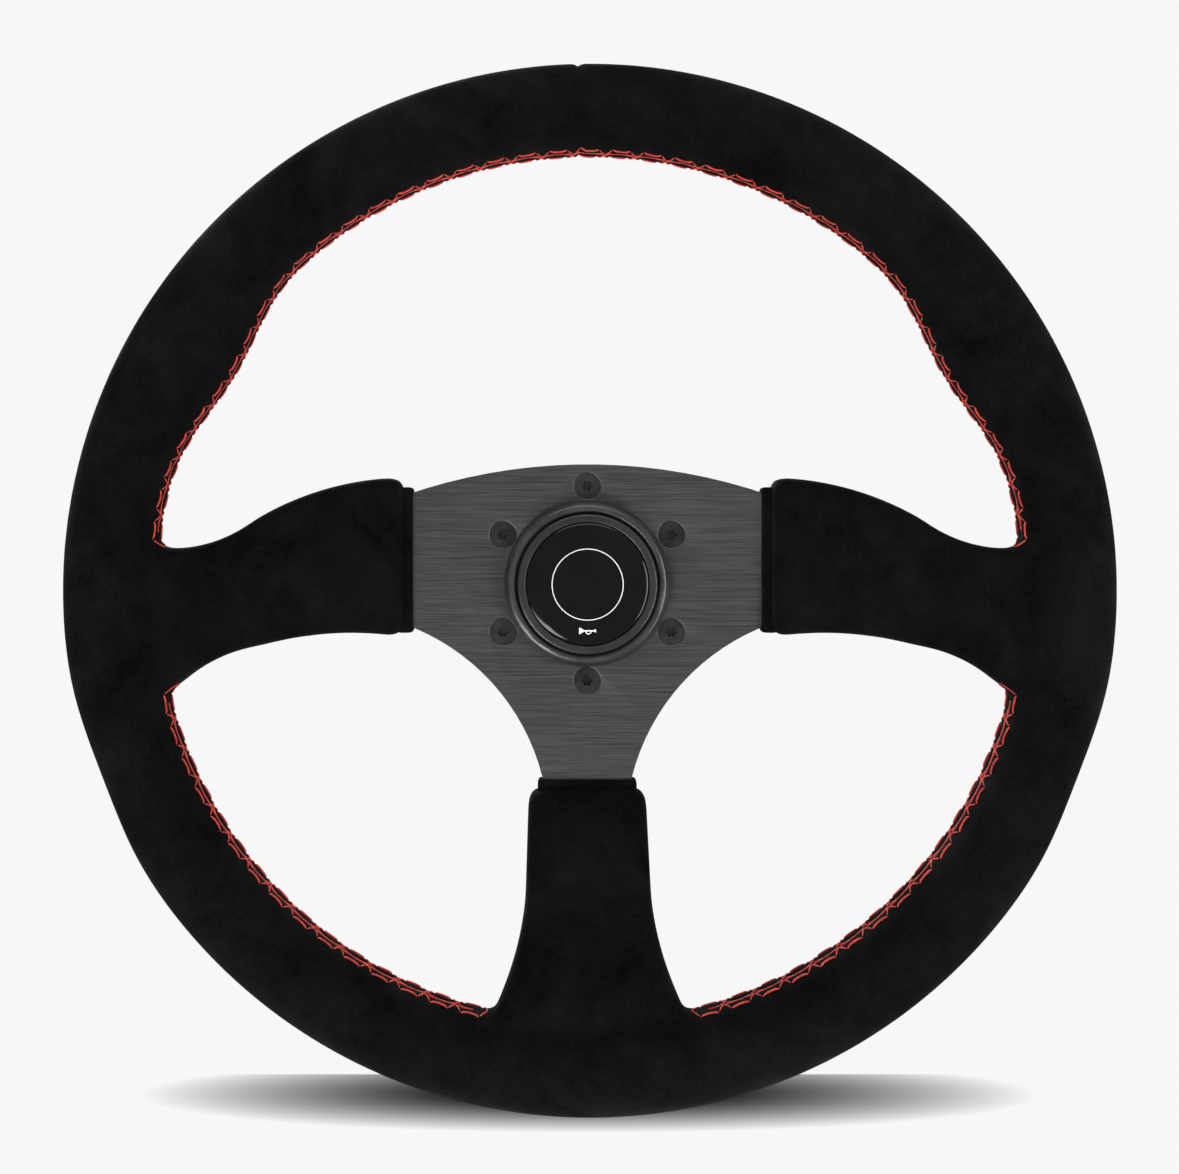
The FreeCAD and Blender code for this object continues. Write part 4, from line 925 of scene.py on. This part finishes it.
        # Each path runs along a stitch (in shares of the pitch), across it and over it (in mm).
        paths = (
            ((0.21, row + 0.1, -0.35), (0.25, row, 0.1), (0.36, row - 0.25, 0.26),
             (0.50, row - 0.35, 0.3), (0.64, row - 0.25, 0.26), (0.75, row, 0.1),
             (0.79, row + 0.1, -0.35)),
            ((0.20, row - 0.2, -0.3), (0.16, row - 0.7, 0.1), (0.08, 2.4, 0.15), (0.0, 1.1, 0.3),
             (-0.14, 0.5, 0.25), (-0.32, 0.15, 0.2), (-0.5, -0.2, 0.1)),
            ((0.80, row - 0.2, -0.3), (0.84, row - 0.7, 0.1), (0.92, 2.4, 0.15), (1.0, 1.1, 0.1),
             (1.14, 0.6, 0.15), (1.32, 0.15, 0.15), (1.5, -0.2, 0.1)),
        )
        for stitch in range(count):
            for side in (1, -1):
                for path, weight in zip(paths, (1.0, self.crossing_weight, self.crossing_weight)):
                    shift = 0.0 if side > 0 else self.side_shift
                    first = len(points)
                    for share, across, lift in path:
                        place = min(max((stitch + share + shift) / count, 0.0), 1.0)
                        theta = seam.start + (seam.end - seam.start) * place
                        points.append(
                            self.grip_point(tree, theta, side * across * MM, lift * MM)
                        )
                        weights.append(weight)
                    edges += [(i, i + 1) for i in range(first, len(points) - 1)]
        mesh = bpy.data.meshes.new(name)
        mesh.from_pydata(points, edges, [])
        mesh.attributes.new("weight", "FLOAT", "POINT").data.foreach_set("value", weights)
        obj = bpy.data.objects.new(name, mesh)
        bpy.context.scene.collection.objects.link(obj)
        ThreadTree(self.thread_radius).apply(obj)
        shade(obj)
        return obj

    def make_hems(self) -> None:
        """Makes the folded suede hem at the end of each spoke's cover."""
        for side in ("left", "right", "lower"):
            skin = Skin(f"{side}_hem", 0.5 * MM, 0.75 * MM, 0.45 * MM)
            obj = skin.build({f"{side}_cuff": 0.0})
            dressed(obj, Slot.SUEDE, Body.WHEEL, (f"{side}_cuff",))


@dataclass
class ThreadTree:
    """A node tree that gives thread paths a round section."""

    radius: float
    sides: int = 6
    step: float = 1.1 * MM

    def tree(self) -> bpy.types.GeometryNodeTree:
        """Builds the tree."""
        tree = bpy.data.node_groups.new("thread", "GeometryNodeTree")
        face = tree.interface
        face.new_socket("Geometry", in_out="INPUT", socket_type="NodeSocketGeometry")
        face.new_socket("Thread radius", in_out="INPUT", socket_type="NodeSocketFloat")
        face.new_socket("Step", in_out="INPUT", socket_type="NodeSocketFloat")
        face.new_socket("Sides", in_out="INPUT", socket_type="NodeSocketInt")
        face.new_socket("Geometry", in_out="OUTPUT", socket_type="NodeSocketGeometry")
        nodes, links = tree.nodes, tree.links
        start = nodes.new("NodeGroupInput")
        curve = nodes.new("GeometryNodeMeshToCurve")
        kind = nodes.new("GeometryNodeCurveSplineType")
        kind.spline_type = "CATMULL_ROM"
        resample = nodes.new("GeometryNodeResampleCurve")
        resample.mode = "LENGTH"
        circle = nodes.new("GeometryNodeCurvePrimitiveCircle")
        tube = nodes.new("GeometryNodeCurveToMesh")
        tube.inputs["Fill Caps"].default_value = True
        weight = nodes.new("GeometryNodeInputNamedAttribute")
        weight.inputs["Name"].default_value = "weight"
        realize = nodes.new("GeometryNodeRealizeInstances")
        paint = nodes.new("GeometryNodeSetMaterial")
        paint.inputs["Material"].default_value = FINISHES[Slot.THREAD]
        finish = nodes.new("NodeGroupOutput")
        links.new(start.outputs["Geometry"], curve.inputs["Mesh"])
        links.new(curve.outputs["Curve"], kind.inputs["Curve"])
        links.new(kind.outputs["Curve"], resample.inputs["Curve"])
        links.new(start.outputs["Step"], resample.inputs["Length"])
        links.new(start.outputs["Sides"], circle.inputs["Resolution"])
        links.new(start.outputs["Thread radius"], circle.inputs["Radius"])
        links.new(resample.outputs["Curve"], tube.inputs["Curve"])
        links.new(circle.outputs["Curve"], tube.inputs["Profile Curve"])
        links.new(weight.outputs["Attribute"], tube.inputs["Scale"])
        links.new(tube.outputs["Mesh"], realize.inputs["Geometry"])
        links.new(realize.outputs["Geometry"], paint.inputs["Geometry"])
        links.new(paint.outputs["Geometry"], finish.inputs["Geometry"])
        return tree

    def apply(self, obj: bpy.types.Object) -> None:
        """Turns the object's paths into thread."""
        tree = self.tree()
        worker = obj.modifiers.new("thread", "NODES")
        worker.node_group = tree
        values = {"Thread radius": self.radius, "Step": self.step, "Sides": self.sides}
        for item in tree.interface.items_tree:
            if item.in_out == "INPUT" and item.name in values:
                worker[item.identifier] = values[item.name]
        baked(obj)


# ------------------------------------------------------------------------------ metalwork


@dataclass
class CentrePlate:
    """The spoke plate and the screws that hold it."""

    edge_break: float = 0.35 * MM
    screw_break: float = 0.28 * MM

    def build(self) -> None:
        """Builds the plate and its screws."""
        plate = softened("centre_plate", ("spoke_plate",), self.edge_break)
        dressed(plate, Slot.BLACK_PLATE, Body.WHEEL, ("spoke_plate",))
        screws = softened("countersunk_screws", ("hub_screws",), self.screw_break, 3)
        dressed(screws, Slot.BLACK_STEEL, Body.WHEEL, ("hub_screws",))


@dataclass
class HornUnit:
    """The bezel, the sprung button and its domed emblem."""

    mark_lift: float = 0.08 * MM
    ring_radius: float = 12.6 * MM
    line: float = 0.32 * MM
    dome_edge: float = 0.4 * MM
    dome_power: float = 2.8
    print_thickness: float = 0.09 * MM
    sign_drop: float = -16.4 * MM
    sign_size: float = 0.66 * MM

    def build(self) -> None:
        """Builds the horn unit's visible pieces."""
        bezel = softened("bezel", ("bezel_ring",), 0.7 * MM, 4)
        dressed(bezel, Slot.BLACK_METAL, Body.WHEEL, ("bezel_ring",))
        button = softened("button_shell", ("horn_button",), 0.25 * MM, 3)
        dressed(button, Slot.BLACK_PLASTIC, Body.BUTTON, ("horn_button",))
        dome = self.dome()
        dressed(dome, Slot.CLEAR_DOME, Body.BUTTON, ("emblem_dome",))
        self.marks(dome)
        Coil("horn_coil", "horn_spring", 1.0 * MM, 4, "horn_press", -48 * MM, 2 * MM).build()

    def dome(self) -> bpy.types.Object:
        """Makes the resin dome, nearly flat in the middle and round at its edge."""
        low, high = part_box("emblem_dome")
        radius, front, back = high.x, low.y, high.y
        edge = back - self.dome_edge
        crown = []
        for step in range(33):
            share = math.sin(math.pi / 2 * (1 - step / 32))
            rise = math.sqrt(max(1 - share**self.dome_power, 0.0))
            crown.append((radius * share, edge + (front - edge) * rise))
        return lathed("dome", [(0.0, back), (radius, back), *crown])

    def marks(self, dome: bpy.types.Object) -> None:
        """Draws the generic white ring and horn sign on the dome."""
        shapes: list[list[tuple[float, float]]] = []
        steps = 96
        for i in range(steps):
            a, b = 2 * math.pi * i / steps, 2 * math.pi * (i + 1) / steps
            near, far = self.ring_radius - self.line / 2, self.ring_radius + self.line / 2
            shapes.append(
                [
                    (near * math.cos(a), near * math.sin(a)),
                    (far * math.cos(a), far * math.sin(a)),
                    (far * math.cos(b), far * math.sin(b)),
                    (near * math.cos(b), near * math.sin(b)),
                ]
            )
        tree = surface_tree(dome)
        points: list[tuple[float, float, float]] = []
        faces: list[tuple[int, ...]] = []
        for shape in shapes + self.horn_sign():
            first = len(points)
            for x, z in shape:
                hit = tree.ray_cast(Vector((x, -0.2, z)), Vector((0, 1, 0)))
                points.append((x, hit[0].y - self.mark_lift, z))
            faces.append(tuple(range(first, len(points))))
        mesh = bpy.data.meshes.new("emblem_marks")
        mesh.from_pydata(points, [], faces)
        work = bmesh.new()
        work.from_mesh(mesh)
        bmesh.ops.remove_doubles(work, verts=work.verts, dist=1e-7)
        work.to_mesh(mesh)
        work.free()
        obj = bpy.data.objects.new("emblem_marks", mesh)
        bpy.context.scene.collection.objects.link(obj)
        for polygon in mesh.polygons:
            if polygon.normal.y > 0:
                polygon.flip()
        wall = obj.modifiers.new("wall", "SOLIDIFY")
        wall.thickness = self.print_thickness
        wall.offset = -1
        baked(obj)
        dressed(obj, Slot.EMBLEM_PRINT, Body.BUTTON)
        obj.data.materials.clear()
        obj.data.materials.append(
            MouldedFinish("white print", grey(0.72), grey(0.8), 0.4, 500.0, 0.00001).material()
        )

    def horn_sign(self) -> list[list[tuple[float, float]]]:
        """A small plain bugle, as convex shapes in metres."""
        bell = [(-4.6, -1.7), (-4.0, -1.7), (-2.2, -0.5), (-2.2, 0.5), (-4.0, 1.7), (-4.6, 1.7)]
        tube = [(-2.2, -0.35), (3.6, -0.35), (3.6, 0.35), (-2.2, 0.35)]
        cup = [(3.6, -0.7), (4.5, -0.9), (4.5, 0.9), (3.6, 0.7)]
        loop = []
        for i in range(10):
            a, b = math.pi + math.pi * i / 10, math.pi + math.pi * (i + 1) / 10
            loop.append(
                [
                    (0.4 + 1.1 * math.cos(a), -0.3 + 1.1 * math.sin(a)),
                    (0.4 + 1.7 * math.cos(a), -0.3 + 1.7 * math.sin(a)),
                    (0.4 + 1.7 * math.cos(b), -0.3 + 1.7 * math.sin(b)),
                    (0.4 + 1.1 * math.cos(b), -0.3 + 1.1 * math.sin(b)),
                ]
            )
        size, drop = self.sign_size, self.sign_drop
        return [
            [(x * size, z * size + drop) for x, z in shape] for shape in [bell, tube, cup, *loop]
        ]


@dataclass
class QuickRelease:
    """The hub, collar and springs behind the plate."""

    def build(self) -> None:
        """Builds the hub, the collar and the springs of the collar and the contact."""
        hub = softened("hub", ("release_hub",), 0.2 * MM)
        dressed(hub, Slot.BLACK_METAL, Body.WHEEL, ("release_hub",))
        collar = softened("collar", ("release_collar",), 0.25 * MM)
        dressed(collar, Slot.BLACK_METAL, Body.COLLAR, ("release_collar",))
        Coil("collar_coil", "collar_spring", 1.6 * MM, 4, "collar_pull", -43 * MM, 8 * MM).build()
        pin = Coil("pin_coil", "contact_spring", 0.6 * MM, 2, "contact_plunge", -43.2 * MM, 2 * MM)
        pin.build()


def dress_remaining_nodes() -> None:
    """Gives every CAD node its slot's material."""
    slots = {s["node"]: s["material_slot"] for s in frame["record"]["subparts"]}
    for name, obj in frame["nodes"].items():
        obj.data.materials.clear()
        obj.data.materials.append(FINISHES[Slot(slots[name])])


# ------------------------------------------------------------------------------ surroundings


@dataclass
class Studio:
    """The pale floor, the plain light and the camera."""

    paper: float = 0.93
    shadow_half: float = 0.155
    shadow_depth: float = 0.033
    shadow_y: float = -0.076
    shadow_core: float = 0.16
    shadow_power: float = 2.2
    world_strength: float = 0.45
    floor_back: float = -0.059
    floor_half: float = 1.6
    eye: tuple[float, float, float] = (-0.011, -0.599, 0.030)
    focal: float = 46.2
    shift: tuple[float, float] = (0.0279, -0.0739)

    def build(self) -> None:
        """Builds the surroundings."""
        self.world()
        self.floor()
        self.lamps()
        self.camera()
        bpy.context.scene.view_settings.view_transform = "Standard"

    def world(self) -> None:
        """Plain pale surroundings that light the object at a lower level."""
        world = bpy.data.worlds.new("studio")
        bpy.context.scene.world = world
        world.use_nodes = True
        tree = world.node_tree
        tree.nodes.clear()
        seen = tree.nodes.new("ShaderNodeBackground")
        seen.inputs["Color"].default_value = (self.paper, self.paper, self.paper, 1)
        glow = tree.nodes.new("ShaderNodeBackground")
        glow.inputs["Color"].default_value = (1, 1, 1, 1)
        glow.inputs["Strength"].default_value = self.world_strength
        mix = tree.nodes.new("ShaderNodeMixShader")
        out = tree.nodes.new("ShaderNodeOutputWorld")
        rays = tree.nodes.new("ShaderNodeLightPath")
        tree.links.new(rays.outputs["Is Camera Ray"], mix.inputs[0])
        tree.links.new(glow.outputs[0], mix.inputs[1])
        tree.links.new(seen.outputs[0], mix.inputs[2])
        tree.links.new(mix.outputs[0], out.inputs[0])

    def floor(self) -> None:
        """A pale shelf under the wheel, with a soft shadow painted on it as a gradient."""
        ground = CAD_BOX[0].z
        back, size = self.floor_back, self.floor_half
        points = np.array(
            [(-size, -size, ground), (size, -size, ground), (size, back, ground), (-size, back, ground)]
        )
        obj = new_mesh_object("floor", points, np.array([[0, 1, 2, 3]]))
        material = bpy.data.materials.new("pale floor")
        material.use_nodes = True
        tree = material.node_tree
        tree.nodes.clear()
        place = tree.nodes.new("ShaderNodeTexCoord")
        reach = tree.nodes.new("ShaderNodeMapping")
        reach.inputs["Location"].default_value = (0.0, -self.shadow_y / self.shadow_depth, 0.0)
        reach.inputs["Scale"].default_value = (1 / self.shadow_half, 1 / self.shadow_depth, 0.0)
        away = tree.nodes.new("ShaderNodeVectorMath")
        away.operation = "LENGTH"
        fade = tree.nodes.new("ShaderNodeMapRange")
        fade.inputs["From Min"].default_value = self.shadow_core
        fade.inputs["From Max"].default_value = 1.0
        tone = tree.nodes.new("ShaderNodeMath")
        tone.operation = "POWER"
        tone.inputs[1].default_value = self.shadow_power
        level = tree.nodes.new("ShaderNodeMath")
        level.operation = "MULTIPLY"
        level.inputs[1].default_value = self.paper
        seen = tree.nodes.new("ShaderNodeEmission")
        lit = tree.nodes.new("ShaderNodeBsdfDiffuse")
        lit.inputs["Color"].default_value = (0.8, 0.8, 0.8, 1)
        rays = tree.nodes.new("ShaderNodeLightPath")
        mix = tree.nodes.new("ShaderNodeMixShader")
        out = tree.nodes.new("ShaderNodeOutputMaterial")
        tree.links.new(place.outputs["Object"], reach.inputs["Vector"])
        tree.links.new(reach.outputs["Vector"], away.inputs[0])
        tree.links.new(away.outputs["Value"], fade.inputs["Value"])
        tree.links.new(fade.outputs["Result"], tone.inputs[0])
        tree.links.new(tone.outputs[0], level.inputs[0])
        tree.links.new(level.outputs[0], seen.inputs["Strength"])
        tree.links.new(rays.outputs["Is Camera Ray"], mix.inputs[0])
        tree.links.new(lit.outputs[0], mix.inputs[1])
        tree.links.new(seen.outputs[0], mix.inputs[2])
        tree.links.new(mix.outputs[0], out.inputs["Surface"])
        obj.data.materials.append(material)
        obj.visible_glossy = False
        obj.visible_diffuse = False
        obj.visible_shadow = False

    def lamps(self) -> None:
        """Soft boxes to both sides, above and behind."""
        boxes = (
            ("left_box", (-0.75, -0.85, -0.75), 1.1, 0.4, 17.0),
            ("right_box", (1.1, -0.95, -0.2), 0.4, 1.1, 13.0),
            ("top_box", (0.0, -0.7, 1.25), 1.4, 0.8, 12.0),
            ("rear_box", (-0.5, 1.1, 0.7), 0.9, 0.9, 14.0),
        )
        for name, place, width, height, power in boxes:
            light = bpy.data.lights.new(name, "AREA")
            light.shape = "RECTANGLE"
            light.size, light.size_y, light.energy = width, height, power
            obj = bpy.data.objects.new(name, light)
            bpy.context.scene.collection.objects.link(obj)
            obj.location = place
            aim = Vector((0, -0.07, 0)) - Vector(place)
            obj.rotation_mode = "QUATERNION"
            obj.rotation_quaternion = aim.to_track_quat("-Z", "Y")

    def camera(self) -> None:
        """Looks straight along the wheel's axis from just above it."""
        lens = bpy.data.cameras.new("camera")
        lens.lens = self.focal
        lens.sensor_width = 36.0
        lens.shift_x, lens.shift_y = self.shift
        obj = bpy.data.objects.new("camera", lens)
        bpy.context.scene.collection.objects.link(obj)
        obj.matrix_world = Matrix.Translation(self.eye) @ Matrix.Rotation(math.pi / 2, 4, "X")
        bpy.context.scene.camera = obj


def main() -> None:
    """Builds the object piece by piece, then its surroundings."""
    logging.basicConfig(level=logging.INFO, format="%(message)s")
    make_finishes()
    dress_remaining_nodes()
    Covering().build()
    CentrePlate().build()
    HornUnit().build()
    QuickRelease().build()
    Studio().build()


if __name__ == "__main__":
    main()
